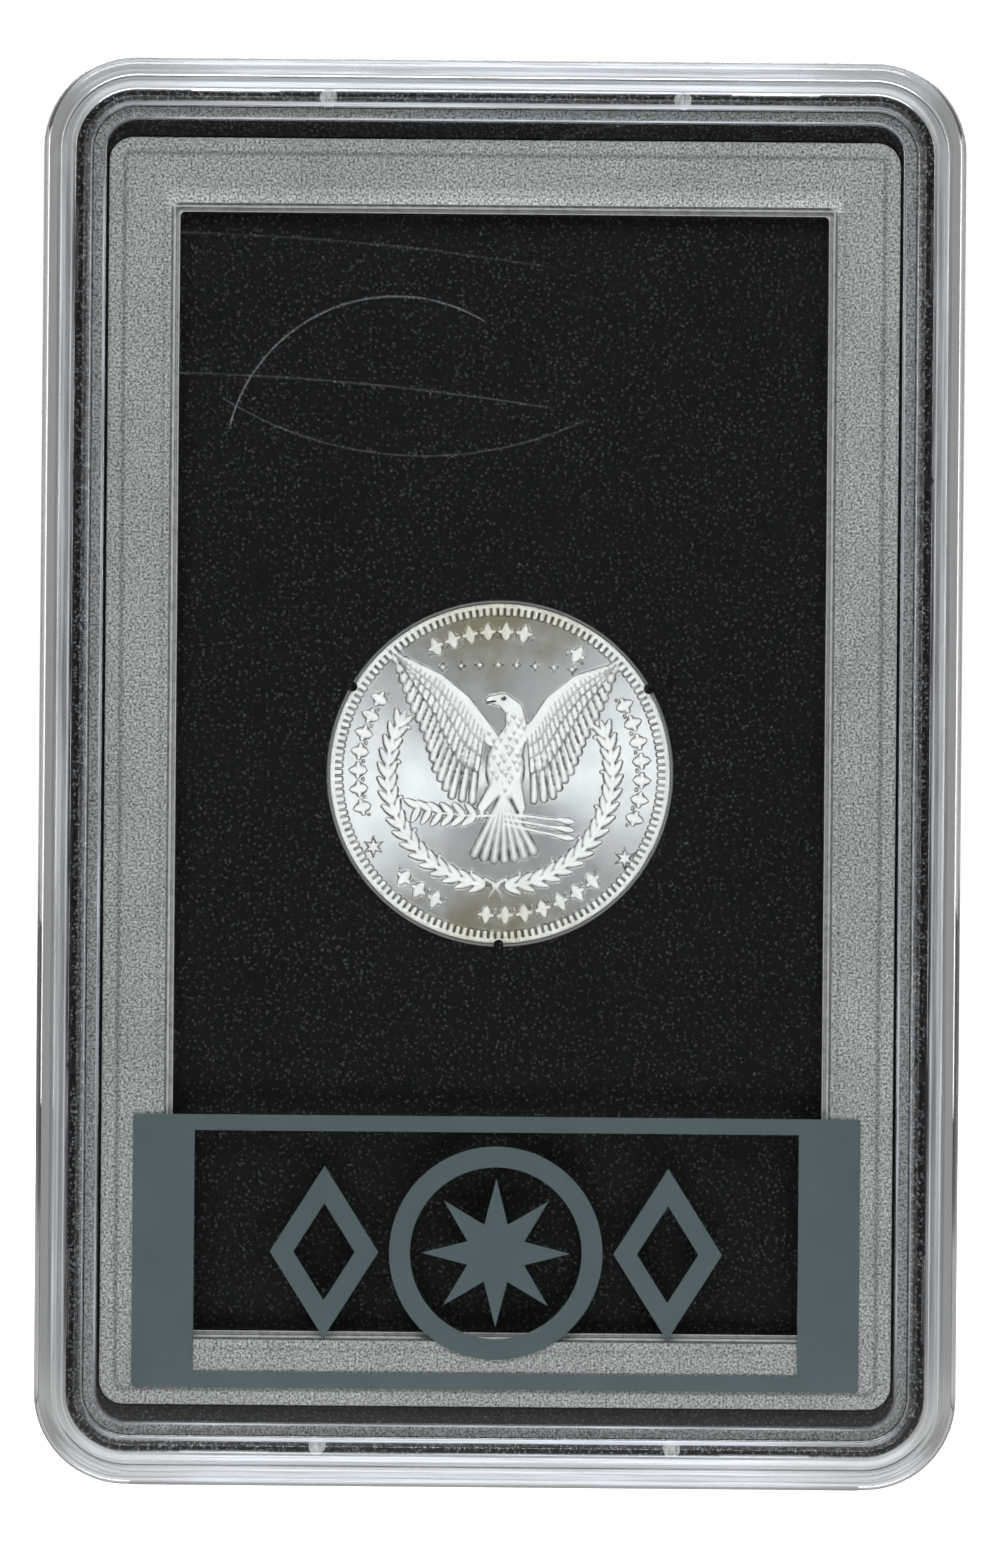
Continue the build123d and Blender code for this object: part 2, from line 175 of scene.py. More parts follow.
def rounded(section, outline, radius, steps=3):
    """Rounds the corners of a section, a list of (inset, depth).

    Returns its loops, and the number of the band that follows each corner.
    """
    loops = []
    bands = []
    for i, (inset, depth) in enumerate(section):
        if i in (0, len(section) - 1):
            loops.append((outline(inset), depth))
            bands.append(len(loops) - 1)
            continue
        here = np.array((inset, depth))
        before = np.array(section[i - 1]) - here
        after = np.array(section[i + 1]) - here
        size = radius.get(i, EDGE_ROUND) if isinstance(radius, dict) else radius
        lengths = np.linalg.norm(before), np.linalg.norm(after)
        before, after = before / lengths[0], after / lengths[1]
        half = math.acos(np.clip(before @ after, -1, 1)) / 2
        cut = min(size / math.tan(half), 0.45 * min(lengths))
        size = cut * math.tan(half)
        middle = here + (before + after) / np.linalg.norm(before + after) * size / math.sin(half)
        start, end = here + before * cut - middle, here + after * cut - middle
        for step in range(steps + 1):
            way = start * (1 - step / steps) + end * step / steps
            point = middle + way / np.linalg.norm(way) * size
            loops.append((outline(point[0]), point[1]))
        bands.append(len(loops) - 1)
    return loops, bands


def mesh_from(bm, name):
    """Turns a bmesh into a mesh."""
    bmesh.ops.recalc_face_normals(bm, faces=bm.faces)
    mesh = bpy.data.meshes.new(name)
    bm.to_mesh(mesh)
    bm.free()
    return mesh


def add_object(name, data):
    """Adds an object to the scene."""
    thing = bpy.data.objects.new(name, data)
    bpy.context.scene.collection.objects.link(thing)
    return thing


def smoothed(mesh, angle=SHARP_ANGLE):
    """Shades a mesh smooth, but for its sharp edges."""
    mesh.polygons.foreach_set("use_smooth", [True] * len(mesh.polygons))
    mesh.set_sharp_from_angle(angle=angle)


def finish_mesh(mesh, materials, replaces=(), body="slab", angle=SHARP_ANGLE):
    """Links a mesh as a piece of the object."""
    smoothed(mesh, angle)
    mesh.update()
    piece = add_object(mesh.name, mesh)
    for material in materials:
        mesh.materials.append(material)
    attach(piece, body)
    if replaces:
        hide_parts(*replaces)


def swept_mesh(name, loops, capped, special=None):
    """A solid from loops of (outline, depth): a plate if capped, else a ring.

    special gives the material number of the bands between two loops that differ.
    """
    bm = bmesh.new()
    rings = []
    for loop, depth in loops:
        rings.append([bm.verts.new(to_world(a, r, depth)) for a, r in loop_points(loop)])
    count = len(rings[0])
    last = len(rings) - 1 if capped else len(rings)
    for k in range(last):
        one, two = rings[k], rings[(k + 1) % len(rings)]
        for i in range(count):
            j = (i + 1) % count
            face = bm.faces.new((one[i], one[j], two[j], two[i]))
            face.material_index = (special or {}).get(k, 0)
    if capped:
        bm.faces.new(rings[0])
        bm.faces.new(rings[-1])
    return mesh_from(bm, name)


def boxes_mesh(name, boxes, bevel):
    """A mesh of separate boxes, each ((low corner), (high corner)), with rounded edges."""
    bm = bmesh.new()
    for low, high in boxes:
        made = bmesh.ops.create_cube(bm, size=1)["verts"]
        for vert in made:
            part = [lo if c < 0 else hi for c, lo, hi in zip(vert.co, low, high)]
            vert.co = to_world(*part)
    bmesh.ops.bevel(
        bm, geom=bm.edges[:], offset=bevel * MM, segments=2, affect="EDGES", clamp_overlap=True
    )
    return mesh_from(bm, name)


# --- Material helpers --------------------------------------------------------------------------


def node_sum(operation, swapped=False):
    """A method of Value that adds a math node."""

    def method(self, other=0.0):
        return self.n.math(operation, *((other, self) if swapped else (self, other)))

    return method


class Value:
    """An output of a node. Sums with it add math nodes."""

    def __init__(self, n, node, out=0):
        self.n, self.node, self.socket = n, node, node.outputs[out]

    def outputs(self):
        """All the outputs of the same node."""
        return [Value(self.n, self.node, k) for k in range(len(self.node.outputs))]

    __add__ = node_sum("ADD")
    __sub__ = node_sum("SUBTRACT")
    __rsub__ = node_sum("SUBTRACT", True)
    __mul__ = node_sum("MULTIPLY")
    __truediv__ = node_sum("DIVIDE")
    __pow__ = node_sum("POWER")
    __abs__ = node_sum("ABSOLUTE")


class Nodes:
    """A short way to build the node tree of a material, or of a world."""

    def __init__(self, name, world=False):
        self.material = (bpy.data.worlds if world else bpy.data.materials).new(name)
        self.material.use_nodes = True
        self.tree = self.material.node_tree
        self.tree.nodes.clear()
        self.output = self.tree.nodes.new("ShaderNodeOutput" + ("World" if world else "Material"))

    def add(self, kind, *values, out=0, **named):
        """Adds a node and returns one of its outputs.

        values go to its first inputs. A name with a capital is an input, with "_" for a space,
        and any other name is a setting of the node. None leaves an input alone.
        """
        node = self.tree.nodes.new("ShaderNode" + kind)
        inputs = dict(enumerate(values))
        for key, value in named.items():
            if key[0].isupper():
                inputs[key.replace("_", " ")] = value
            else:
                setattr(node, key, value)
        for key, value in inputs.items():
            if isinstance(value, Value):
                self.tree.links.new(value.socket, node.inputs[key])
            elif value is not None:
                node.inputs[key].default_value = value
        return Value(self, node, out)

    def math(self, operation, first, second=0.0):
        return self.add("Math", first, second, operation=operation)

    def length(self, u, v):
        return self.math("SQRT", u**2.0 + v**2.0)

    def mix(self, factor, first, second):
        """A mix of two colours, which are the node's seventh and eighth inputs."""
        return self.add("Mix", factor, *[None] * 5, first, second, out=2, data_type="RGBA")

    def place(self):
        """Object coordinates, in metres in the shared frame."""
        return self.add("TexCoord", out="Object")

    def axes(self):
        """Object coordinates, one by one."""
        return self.add("SeparateXYZ", self.place()).outputs()

    def from_middle(self):
        """Millimetres across and up from the middle of the coin."""
        x, _, z = self.axes()
        return (x - CENTRE.x) / MM, (z - CENTRE.z) / MM

    def insets(self, width, height):
        """Distances inwards from a rectangle's sides and from its ends, in millimetres."""
        x, _, z = self.axes()
        side = (width / 2 * MM - abs(x - CENTRE.x)) / MM
        return side, (height / 2 * MM - abs(z - CENTRE.z)) / MM

    def inset(self, width, height, corner=0.0):
        """Distance inwards from a rectangle with rounded corners, in millimetres."""
        past = [corner - gap for gap in self.insets(width, height)]
        within = self.math("MINIMUM", self.math("MAXIMUM", *past), 0.0)
        outside = self.length(*[self.math("MAXIMUM", gap, 0.0) for gap in past])
        return corner - outside - within

    def slab_inset(self):
        """Distance inwards from the slab's outline, in millimetres."""
        return self.inset(SLAB_WIDTH, SLAB_HEIGHT, SLAB_CORNER)

    def tinted(self, level, tint=(1.0, 1.0, 1.0)):
        """A grey level as a colour, with a slight tint."""
        return self.add("CombineColor", *[level * part for part in tint])

    def noise(self, size, detail=2.0, roughness=0.5, stretch=None):
        """Noise with lumps of about size millimetres."""
        place = self.place()
        if stretch:
            place = self.add("VectorMath", place, stretch, operation="MULTIPLY")
        scale = 1 / (size * MM)
        return self.add("TexNoise", Vector=place, Scale=scale, Detail=detail, Roughness=roughness)

    def patches(self, low, high, *noise):
        """Noise spread evenly between low and high."""
        return self.range(self.noise(*noise), 0.3, 0.7, low, high)

    def cells(self, size):
        """Distance from the middles of cells of about size millimetres."""
        return self.add("TexVoronoi", out="Distance", Vector=self.place(), Scale=1 / (size * MM))

    def ramp(self, value, stops):
        """A colour ramp through stops of (position, grey or colour)."""
        shade = self.add("ValToRGB", value)
        elements = shade.node.color_ramp.elements
        while len(elements) < len(stops):
            elements.new(0.5)
        for element, (position, colour) in zip(elements, stops):
            element.position = position
            grey = (colour,) * 3 if isinstance(colour, float) else colour
            element.color = (*grey, 1)
        return shade

    def range(self, value, low, high, out_low=0.0, out_high=1.0, smooth=False):
        kind = "SMOOTHSTEP" if smooth else "LINEAR"
        return self.add("MapRange", value, low, high, out_low, out_high, interpolation_type=kind)

    def bump(self, height, distance, relief=None):
        """A relief of distance millimetres, on another relief if one is given."""
        return self.add("Bump", Height=height, Distance=distance * MM, Normal=relief)

    def ray(self, fact):
        return self.add("LightPath", out=fact)

    def surface(self, shader):
        self.tree.links.new(shader.socket, self.output.inputs["Surface"])
        return self.material

    def painted(self, **values):
        """Finishes a material with a principled shader."""
        return self.surface(self.add("BsdfPrincipled", **values))


# Hairline scratches on the shown window: arcs as (middle across, middle rise, radius,
# from degrees, to degrees, strength).
SCRATCHES = (
    (-11.8, 33.7, 18.9, 58, 168, 0.085),
    (-41.0, -256.0, 300.0, 81, 92, 0.035),
    (-40.9, -240.5, 300.0, 81, 92, 0.022),
    (-9.0, 77.0, 42.0, 238, 296, 0.035),
    (16.0, 46.0, 26.0, 88, 128, 0.02),
)
SCRATCH_WIDTH = 0.1


def scratched(n):
    """How scratched the plastic is, from 0 to 1, at each place."""
    across, rise = n.from_middle()
    total = None
    for middle_across, middle_rise, radius, start, end, strength in SCRATCHES:
        u, v = across - middle_across, rise - middle_rise
        line = n.range(abs(n.length(u, v) - radius), 0.0, SCRATCH_WIDTH, strength, 0.0)
        middle = math.radians((start + end) / 2)
        along = u * math.cos(middle) + v * math.sin(middle)
        edge = math.cos(math.radians((end - start) / 2))
        line = line * n.range(along / radius, edge, edge + 0.1 * (1 - edge))
        total = line if total is None else n.math("MAXIMUM", total, line)
    return total * n.range(n.noise(1.6, 3.0, 0.6), 0.35, 0.6, 0.3, 1.0)


# Noise waves per millimetre in the haze, across and along the slab's edges.
STREAKS_ACROSS = 4.5
STREAKS_ALONG = 0.06
# The colour of the haze, of the scratches and of the pale lines of painted highlight.
HAZE_AND_HIGHLIGHT_COLOUR = (0.8, 0.85, 0.92, 1)
# Fine lines of painted highlight and painted shade in the rim, as (millimetres in from the edge, pale
# share, dark share): paler along the ends, where the lamps above and below light it.
LINES_REACH = 5.0
SIDE_LINES = (
    (1.5, 0.0, 0.0), (1.62, 0.0, 0.25), (1.85, 0.0, 0.28), (1.98, 0.05, 0.05), (2.08, 0.4, 0.0),
    (2.2, 0.05, 0.05), (2.35, 0.0, 0.1), (2.45, 0.1, 0.0), (2.6, 0.0, 0.2), (2.75, 0.0, 0.38),
    (3.05, 0.0, 0.36), (3.15, 0.15, 0.0), (3.22, 0.15, 0.0), (3.3, 0.0, 0.5), (3.45, 0.0, 0.75),
    (3.85, 0.0, 0.6), (3.95, 0.0, 0.0),
)
END_LINES = (
    (0.0, 0.0, 0.0), (0.35, 0.1, 0.0), (0.5, 0.6, 0.0), (0.9, 0.6, 0.0), (1.05, 0.3, 0.0),
    (1.45, 0.25, 0.0), (1.6, 0.5, 0.0), (1.85, 0.55, 0.0), (2.0, 0.2, 0.0), (2.15, 0.45, 0.0),
    (2.28, 0.0, 0.2), (2.45, 0.0, 0.25), (2.6, 0.1, 0.05), (2.72, 0.0, 0.2), (2.85, 0.2, 0.0),
    (3.0, 0.6, 0.0), (3.4, 0.5, 0.0), (3.5, 0.0, 0.35), (3.6, 0.05, 0.3), (3.72, 0.5, 0.0),
    (3.82, 0.3, 0.0), (3.95, 0.0, 0.3), (4.1, 0.0, 0.0),
)
# The pale lines of painted highlight and the dark lines of painted shade, as (colour, strength where
# the noise is low, and where it's high).
LINE_KINDS = ((HAZE_AND_HIGHLIGHT_COLOUR, 0.5, 1.35), ((0.012, 0.012, 0.014, 1), 1.35, 0.5))


def edge_noise(n, inset):
    """Noise drawn out along the slab's edges, with fine lines across them."""
    x, _, z = n.axes()
    place = n.add("CombineXYZ", inset * STREAKS_ACROSS, (x + z) * (STREAKS_ALONG / MM))
    return n.add("TexNoise", Vector=place, Scale=1.0, Detail=3.0, Roughness=0.6)


def at_ends(n):
    """1 along the slab's ends and 0 along its sides, blended round the corners."""
    side, end = n.insets(SLAB_WIDTH, SLAB_HEIGHT)
    return n.range(side - end, -3.0, 3.0, 0.0, 1.0, True)


def off_corners(n):
    """How much of the haze is left: all of it along the edges, and less round the corners."""
    run = n.math("MAXIMUM", *n.insets(SLAB_WIDTH, SLAB_HEIGHT))
    return n.range(run, 9.0, 24.0, 0.35, 1.0, True)


def streaks(n, low, high, sides, start):
    """Uneven haze that runs along the slab's edges, between low and high.

    sides is how much of it shows along the slab's long sides, away from its ends, so that less of it
    there leaves a painted highlight of the lamps above and below along the ends; start is how far in
    from the edge it begins, in millimetres.
    """
    inset = n.slab_inset()
    haze = n.math("MAXIMUM", n.range(edge_noise(n, inset), 0.38, 0.62, low, high), 0.0)
    haze = haze * n.range(inset, start, start + 0.15) * off_corners(n)
    return haze * n.range(at_ends(n), 0.0, 1.0, sides, 1.0)


def glass(n, tint, roughness, relief=None):
    """Clear styrene."""
    looks = dict(Base_Color=(*tint, 1), Roughness=roughness, IOR=1.58, Transmission_Weight=1.0)
    return n.add("BsdfPrincipled", Normal=relief, **looks)


def over(n, surface, colour, share):
    """A share of a dull colour over a surface."""
    return n.add("MixShader", share, surface, n.add("BsdfDiffuse", colour))


def lit_inside(n, surface):
    """Lets the lamps light what is behind a clear surface."""
    through = n.add("BsdfTransparent", (0.97, 0.98, 0.98, 1))
    return n.add("MixShader", n.ray("Is Shadow Ray"), surface, through)


def lined_rim(name, tint):
    """The back shell's flat rim: clear, crossed by fine pale lines of painted highlight and dark lines
    of painted shade.
    """
    n = Nodes(name)
    inset = n.slab_inset()
    way = n.range(inset, 0.0, LINES_REACH)
    lines = []
    for table in (SIDE_LINES, END_LINES):
        stops = [(place / LINES_REACH, (pale, dark, 0.0)) for place, pale, dark in table]
        lines.append(n.ramp(way, stops))
    shares = n.add("SeparateColor", n.mix(at_ends(n), *lines)).outputs()
    noise = edge_noise(n, inset)
    surface = glass(n, tint, 0.0)
    for share, (colour, low, high) in zip(shares, LINE_KINDS):
        share = share * n.range(noise, 0.38, 0.62, low, high) * off_corners(n)
        surface = over(n, surface, colour, share)
    return n.surface(lit_inside(n, surface))


def clear_plastic(name, tint, roughness, wave=None, scratches=False, haze=None):
    """Clear moulded plastic that lets the lamps light what is inside it."""
    n = Nodes(name)
    relief = n.bump(n.noise(wave[0], 3.0), wave[1]) if wave else None
    surface = glass(n, tint, roughness, relief)
    if scratches or haze:
        surface = over(n, surface, HAZE_AND_HIGHLIGHT_COLOUR, streaks(n, *haze) if haze else scratched(n))
    return n.surface(lit_inside(n, surface))


def faint_plastic(name, haze=None):
    """Clear plastic that hardly bends light, with a faint gloss and perhaps a streaky haze."""
    n = Nodes(name)
    clear = n.add("BsdfTransparent", (0.94, 0.95, 0.95, 1))
    gloss = n.add("BsdfGlossy", Roughness=0.25)
    surface = n.add("MixShader", n.patches(0.02, 0.16, 0.8, 3.0), clear, gloss)
    return n.surface(over(n, surface, HAZE_AND_HIGHLIGHT_COLOUR, streaks(n, *haze)) if haze else surface)


# Painted shade on the inner case's border, as (millimetres in from its edge, width, shade): lines
# where the wall and the rib lie behind it.
BORDER_SHADE_LINES = ((1.75, 0.45, 0.55), (6.2, 0.35, 0.8))
BORDER_LEVEL = 0.31


def frosted_plastic():
    """The inner case's border: spark-eroded, with painted shade in lines over the wall and the rib
    behind it, and a painted highlight just above the window.
    """
    n = Nodes("frosted_border")
    inset = n.inset(CASE_WIDTH, CASE_HEIGHT, CASE_CORNER)
    # Painted shade: darker lines where the wall and the rib lie behind the border.
    wall, rib = [
        n.range(abs(inset - middle), 0.0, width, shade, 1.0, True)
        for middle, width, shade in BORDER_SHADE_LINES
    ]
    across, rise = n.from_middle()
    top, side = CASE_HEIGHT / 2 - CASE_BORDER_END, CASE_WIDTH / 2 - CASE_BORDER_SIDE
    # Painted highlight: the border just above the window's top edge, up to half again brighter.
    top_highlight = n.range(rise, top + 2.4, top + 1.5) * n.range(rise, top - 0.4, top)
    top_highlight = top_highlight * n.range(abs(across), side + 1.8, side + 0.6)
    grain = n.range(n.noise(0.26, 3.0, 0.7), 0.36, 0.64, 0.1, 1.9) * n.patches(0.9, 1.1, 9.0)
    level = wall * rib * n.range(top_highlight, 0.0, 1.0, 1.0, 1.5) * grain * BORDER_LEVEL
    relief = n.bump(n.noise(0.3, 4.0, 0.7) + n.noise(0.8, 2.0), 0.12)
    colour = n.tinted(level, (0.985, 1.0, 0.99))
    return n.painted(Base_Color=colour, Roughness=0.42, Specular_IOR_Level=0.55, Normal=relief)


def pin_mark(name, shade):
    """The smeared face an ejector pin leaves."""
    n = Nodes(name)
    smear = n.noise(0.6, 3.0, 0.6, (2.0, 1.0, 0.4))
    level = n.range(smear, 0.3, 0.7, shade * 0.4, shade * 1.5)
    return n.painted(Base_Color=n.tinted(level), Roughness=0.25, Normal=n.bump(smear, 0.08))


def textured_plastic():
    """The rib's foot: clear plastic with a spark-eroded face that scatters the light."""
    n = Nodes("textured_rib")
    grain = n.noise(0.25, 4.0, 0.7)
    colour = n.tinted(n.range(grain, 0.36, 0.64, 0.0, 0.34), (0.97, 0.99, 1.0))
    return n.painted(Base_Color=colour, Roughness=0.4, Normal=n.bump(grain, 0.1))


# Painted highlight and painted shade in lines down the window's edge, as (share of its width, grey).
EDGE_LIGHT_AND_SHADE = (
    (0.0, 0.12), (0.16, 0.12), (0.24, 0.62), (0.42, 0.62), (0.5, 0.06), (0.6, 0.3), (0.86, 0.2),
    (0.92, 0.5),
)


def edge_painted_sheen():
    """The sides of the window opening in the frosted border: glossy, with painted highlights in bright
    lines and painted shade in a dark line.
    """
    n = Nodes("edge_painted_sheen")
    inset = n.inset(CASE_WIDTH - 2 * CASE_BORDER_SIDE, CASE_HEIGHT - 2 * CASE_BORDER_END)
    shade = n.ramp(n.range(inset, -CASE_WINDOW_SLOPE, BEAD_WIDTH), EDGE_LIGHT_AND_SHADE)
    colour = n.mix(n.patches(0.8, 1.2, 2.0), (0, 0, 0, 1), shade)
    roughness = n.patches(0.2, 0.4, 0.8)
    return n.painted(Base_Color=colour, Roughness=roughness, Specular_IOR_Level=0.8)


def melted_ring(n, relief, lumps, middle_across, middle_rise, radius):
    """A raised ring on a relief, as where a prong was pressed in hot."""
    across, rise = n.from_middle()
    away = n.length(across - middle_across, rise - middle_rise) / radius + lumps * 0.5
    return n.bump(n.range(abs(away - 1.1), 0.0, 0.3, 1.0, 0.0, True), 0.25, relief)


def black_grain(name, shade, size, depth, roughness, fleck, grain_sheen, scar=None, fade=None):
    """Black moulded plastic with a leather-like grain and a few pale specks of dust.

    grain_sheen is how the grain's height lightens it, a painted sparkle of the lamps on its tops, and
    fade how the distance from the slab's edge does.
    """
    n = Nodes(name)
    lumps = n.noise(size, 3.0, 0.6)
    grain = n.range(n.cells(size * 1.5), 0.0, 0.75, 1.0, 0.0) * 0.6 + lumps
    dust = n.range(n.noise(0.35, 1.0, 0.3), fleck, fleck + 0.03)
    tone = n.patches(0.8, 1.2, 14.0)
    if fade:
        tone = tone * n.range(n.slab_inset(), *fade)
    # Painted sparkle: the grain's tops made lighter, as if the lamps caught them.
    level = tone * n.range(grain, *grain_sheen) * shade
    colour = n.mix(dust, n.tinted(level, (0.95, 1.0, 1.07)), (0.09, 0.09, 0.095, 1))
    relief = n.bump(grain, depth)
    if scar:
        relief = melted_ring(n, relief, lumps, *scar)
    dull = n.range(grain, 0.4, 1.2, roughness + 0.08, roughness - 0.08)
    return n.painted(Base_Color=colour, Roughness=dull, Specular_IOR_Level=0.15, Normal=relief)


def printed_ink(name, colour, roughness=0.45):
    """Screen-printed ink, slightly uneven."""
    n = Nodes(name)
    shade = n.patches(0.93, 1.07, 6.0, 3.0) * n.patches(0.95, 1.05, 0.35, 3.0, 0.65)
    looks = dict(Base_Color=n.tinted(shade, colour), Roughness=roughness, Specular_IOR_Level=0.3)
    return n.painted(Normal=n.bump(n.noise(0.5, 3.0, 0.6), 0.02), **looks)


def card_stock():
    """Uncoated label card with paper fibres."""
    n = Nodes("card_stock")
    fibre = n.noise(0.5, 4.0, 0.7, (0.35, 1.0, 1.0))
    colour = n.ramp(fibre, ((0.3, (0.70, 0.70, 0.67)), (0.7, (0.82, 0.82, 0.80))))
    return n.painted(Base_Color=colour, Roughness=0.8, Normal=n.bump(fibre, 0.02))


def stamped_foil():
    """Silver hot-stamped foil that follows the grain under it."""
    n = Nodes("stamped_foil")
    grain = n.noise(0.4, 3.0, 0.6)
    looks = dict(Base_Color=(0.78, 0.78, 0.76, 1), Metallic=1.0, Normal=n.bump(grain, 0.03))
    return n.painted(Roughness=n.range(grain, 0.3, 0.7, 0.28, 0.45), **looks)


# --- The coin's struck faces ---------------------------------------------------------------------
# Each face is a height over its field, in millimetres, at places (u, v) given as fractions of
# the coin's radius: u to the right and v upwards as the face is looked at.
RIM_INNER = 0.965
DENTICLE_INNER = 0.915
DENTICLES = 148
FIELD_DROP = 0.30
RELIEF = 0.27
GROOVE = 0.0065
CHEST_GROOVE = 0.0062
WREATH_RADIUS = 0.655
ORNAMENT_RADIUS = 0.83
QUILLS = 17
# Rows of feathers on a wing: where a row starts and ends on the way from the arm to the tips,
# how many feathers it has, and how high the grooves between them stay over the field.
FEATHER_ROWS = (
    (0.08, 0.20, 21, 0.12),
    (0.21, 0.38, 19, 0.11),
    (0.39, 0.60, 18, 0.10),
    (0.61, 0.95, QUILLS, 0.08),
)


def polar(radius, degrees):
    return radius * math.cos(math.radians(degrees)), radius * math.sin(math.radians(degrees))


class Relief:
    """A height map that shapes are struck into, over scattered points."""

    def __init__(self, u, v):
        self.u = u
        self.v = v
        self.height = np.zeros_like(u)

    def near(self, low_u, high_u, low_v, high_v):
        u, v = self.u, self.v
        return np.nonzero((u > low_u) & (u < high_u) & (v > low_v) & (v < high_v))[0]

    def around(self, u, v, reach, angle=0.0):
        """Points near a place: their numbers, and offsets from it along and across an angle."""
        index = self.near(u - reach, u + reach, v - reach, v + reach)
        c, s = polar(1.0, angle)
        du, dv = self.u[index] - u, self.v[index] - v
        return index, du * c + dv * s, -du * s + dv * c

    def beside(self, a, b, reach):
        """Points near a line: their numbers, shares of the way along it and distances from it."""
        low, high = np.minimum(a, b) - reach, np.maximum(a, b) + reach
        index = self.near(low[0], high[0], low[1], high[1])
        du, dv = self.u[index] - a[0], self.v[index] - a[1]
        along = b - a
        t = np.clip((du * along[0] + dv * along[1]) / (along @ along + 1e-12), 0, 1)
        return index, t, np.hypot(du - t * along[0], dv - t * along[1])

    def raise_to(self, index, height):
        self.height[index] = np.maximum(self.height[index], height)

    def cut(self, points, width, floor=0.02):
        """A fine groove along points, down to floor."""
        points = np.array(points, float)
        for a, b in zip(points, points[1:]):
            index, _, away = self.beside(a, b, width)
            index = index[away < width]
            self.height[index] = np.minimum(self.height[index], floor)

    def stroke(self, points, widths, low, high, ridge=0.0):
        """A rounded bar through points; its half width and height change along it."""
        points = np.array(points, float)
        widths = np.interp(np.linspace(0, 1, len(points)), np.linspace(0, 1, len(widths)), widths)
        for k, (a, b) in enumerate(zip(points, points[1:])):
            index, t, away = self.beside(a, b, widths.max())
            width = widths[k] + (widths[k + 1] - widths[k]) * t
            inside = away < width
            index, away, width = index[inside], away[inside], width[inside]
            way = (k + t[inside]) / (len(points) - 1)
            dome = np.sqrt(1 - (away / width) ** 2)
            shaft = ridge * np.exp(-((away / (0.18 * width)) ** 2))
            self.raise_to(index, (low + (high - low) * way) * dome + shaft)

    def dome(self, u, v, radius_u, radius_v, height, angle=0.0):
        """An oval dome, turned by angle in degrees."""
        index, along, across = self.around(u, v, max(radius_u, radius_v), angle)
        away = (along / radius_u) ** 2 + (across / radius_v) ** 2
        inside = away < 1
        self.raise_to(index[inside], height * np.sqrt(1 - away[inside]))

    def star(self, u, v, radius, points, height, turn=90.0, waist=0.42):
        """A faceted star."""
        index, du, dv = self.around(u, v, radius)
        away = np.hypot(du, dv)
        angle = np.degrees(np.arctan2(dv, du)) - turn
        fold = np.abs((angle + 180 / points) % (360 / points) - 180 / points) * points / 180
        edge = radius / (1 + (1 / waist - 1) * fold)
        inside = away < edge
        self.raise_to(index[inside], height * (1 - away[inside] / edge[inside]) + 0.03)

    def leaf(self, root, angle, length, width, height):
        """A pointed leaf with a raised midrib."""
        index, along, across = self.around(*root, length, angle)
        along, away = along / length, np.abs(across)
        half = width * np.sqrt(np.clip(4 * along * (1 - along), 0, 1)) * (1.15 - 0.4 * along)
        inside = (along > 0) & (along < 1) & (away < half)
        share = away[inside] / half[inside]
        height = height * (0.55 + 0.45 * (1 - share)) * np.sqrt(np.clip(1 - share**4, 0, 1))
        self.raise_to(index[inside], height)

    def band_of_denticles(self, count):
        """The ring of small teeth inside the rim."""
        away = np.hypot(self.u, self.v)
        angle = np.arctan2(self.v, self.u)
        index = np.nonzero((away > DENTICLE_INNER) & (away < RIM_INNER))[0]
        tooth = 0.5 + 0.5 * np.cos(angle[index] * count)
        share = (away[index] - DENTICLE_INNER) / (RIM_INNER - DENTICLE_INNER)
        rise = np.clip(share * 4, 0, 1)
        self.raise_to(index, RELIEF * 0.75 * tooth**0.45 * rise)


def along_path(points, share):
    """The place at a share of the way along a list of points."""
    points = np.array(points, float)
    steps = np.hypot(*np.diff(points, axis=0).T)
    way = np.concatenate([[0], np.cumsum(steps)]) / steps.sum()
    return np.array([np.interp(share, way, points[:, 0]), np.interp(share, way, points[:, 1])])


def wing(relief, upper, lower, flip):
    """One spread wing: long flight feathers under two rows of coverts, below the wing's arm."""
    upper = [(flip * u, v) for u, v in upper]
    lower = [(flip * u, v) for u, v in lower]
    for k in range(QUILLS):
        share = (k + 0.5) / QUILLS
        root = along_path(upper, 1 - share * 0.86)
        tip = along_path(lower, share)
        middle = root * 0.5 + tip * 0.5 + np.array((flip * 0.012, 0.010))
        wide = 0.037 - 0.007 * share
        relief.stroke([root, middle, tip], [wide * 0.7, wide, wide * 0.8], 0.17, 0.15, 0.03)
    for row, (reach, rise, wide) in enumerate(((0.58, 0.19, 0.022), (0.36, 0.22, 0.018))):
        feathers = 15 - 2 * row
        for k in range(feathers):
            share = (k + 0.5) / feathers
            root = along_path(upper, 1 - share * 0.9)
            tip = root + (along_path(lower, share) - root) * reach
            relief.stroke([root, tip], [wide, wide * 0.8], rise * 0.9, rise, 0.02)
    relief.stroke(upper, [0.045, 0.034, 0.022, 0.012], 0.26, 0.17)
    for k in range(26):
        place = along_path(upper, 0.03 + k / 28)
        relief.dome(place[0], place[1] - 0.012, 0.016, 0.013, 0.24 - 0.002 * k, flip * 60)
    feather_lines(relief, upper, lower)


def feather_lines(relief, upper, lower):
    """Grooves between a wing's feathers, and the scalloped ends of each row."""
    for start, end, feathers, floor in FEATHER_ROWS:
        tips = []
        for k in range(feathers + 1):
            share = k / feathers
            root = along_path(upper, 1 - share * 0.9)
            tip = along_path(lower, share)
            lean = 0.04 * (tip - root)
            relief.cut([root + (tip - root) * start, root + (tip - root) * end - lean], GROOVE, floor)
            tips.append((root + (tip - root) * end - lean, tip - root))
        if end > 0.9:
            continue
        for (one, way), (two, _) in zip(tips, tips[1:]):
            low = (one + two) / 2 + 0.06 * way
            sides = [tip * 0.6 + low * 0.4 + 0.03 * way for tip in (one, two)]
            relief.cut([one, sides[0], low, sides[1], two], GROOVE, floor)


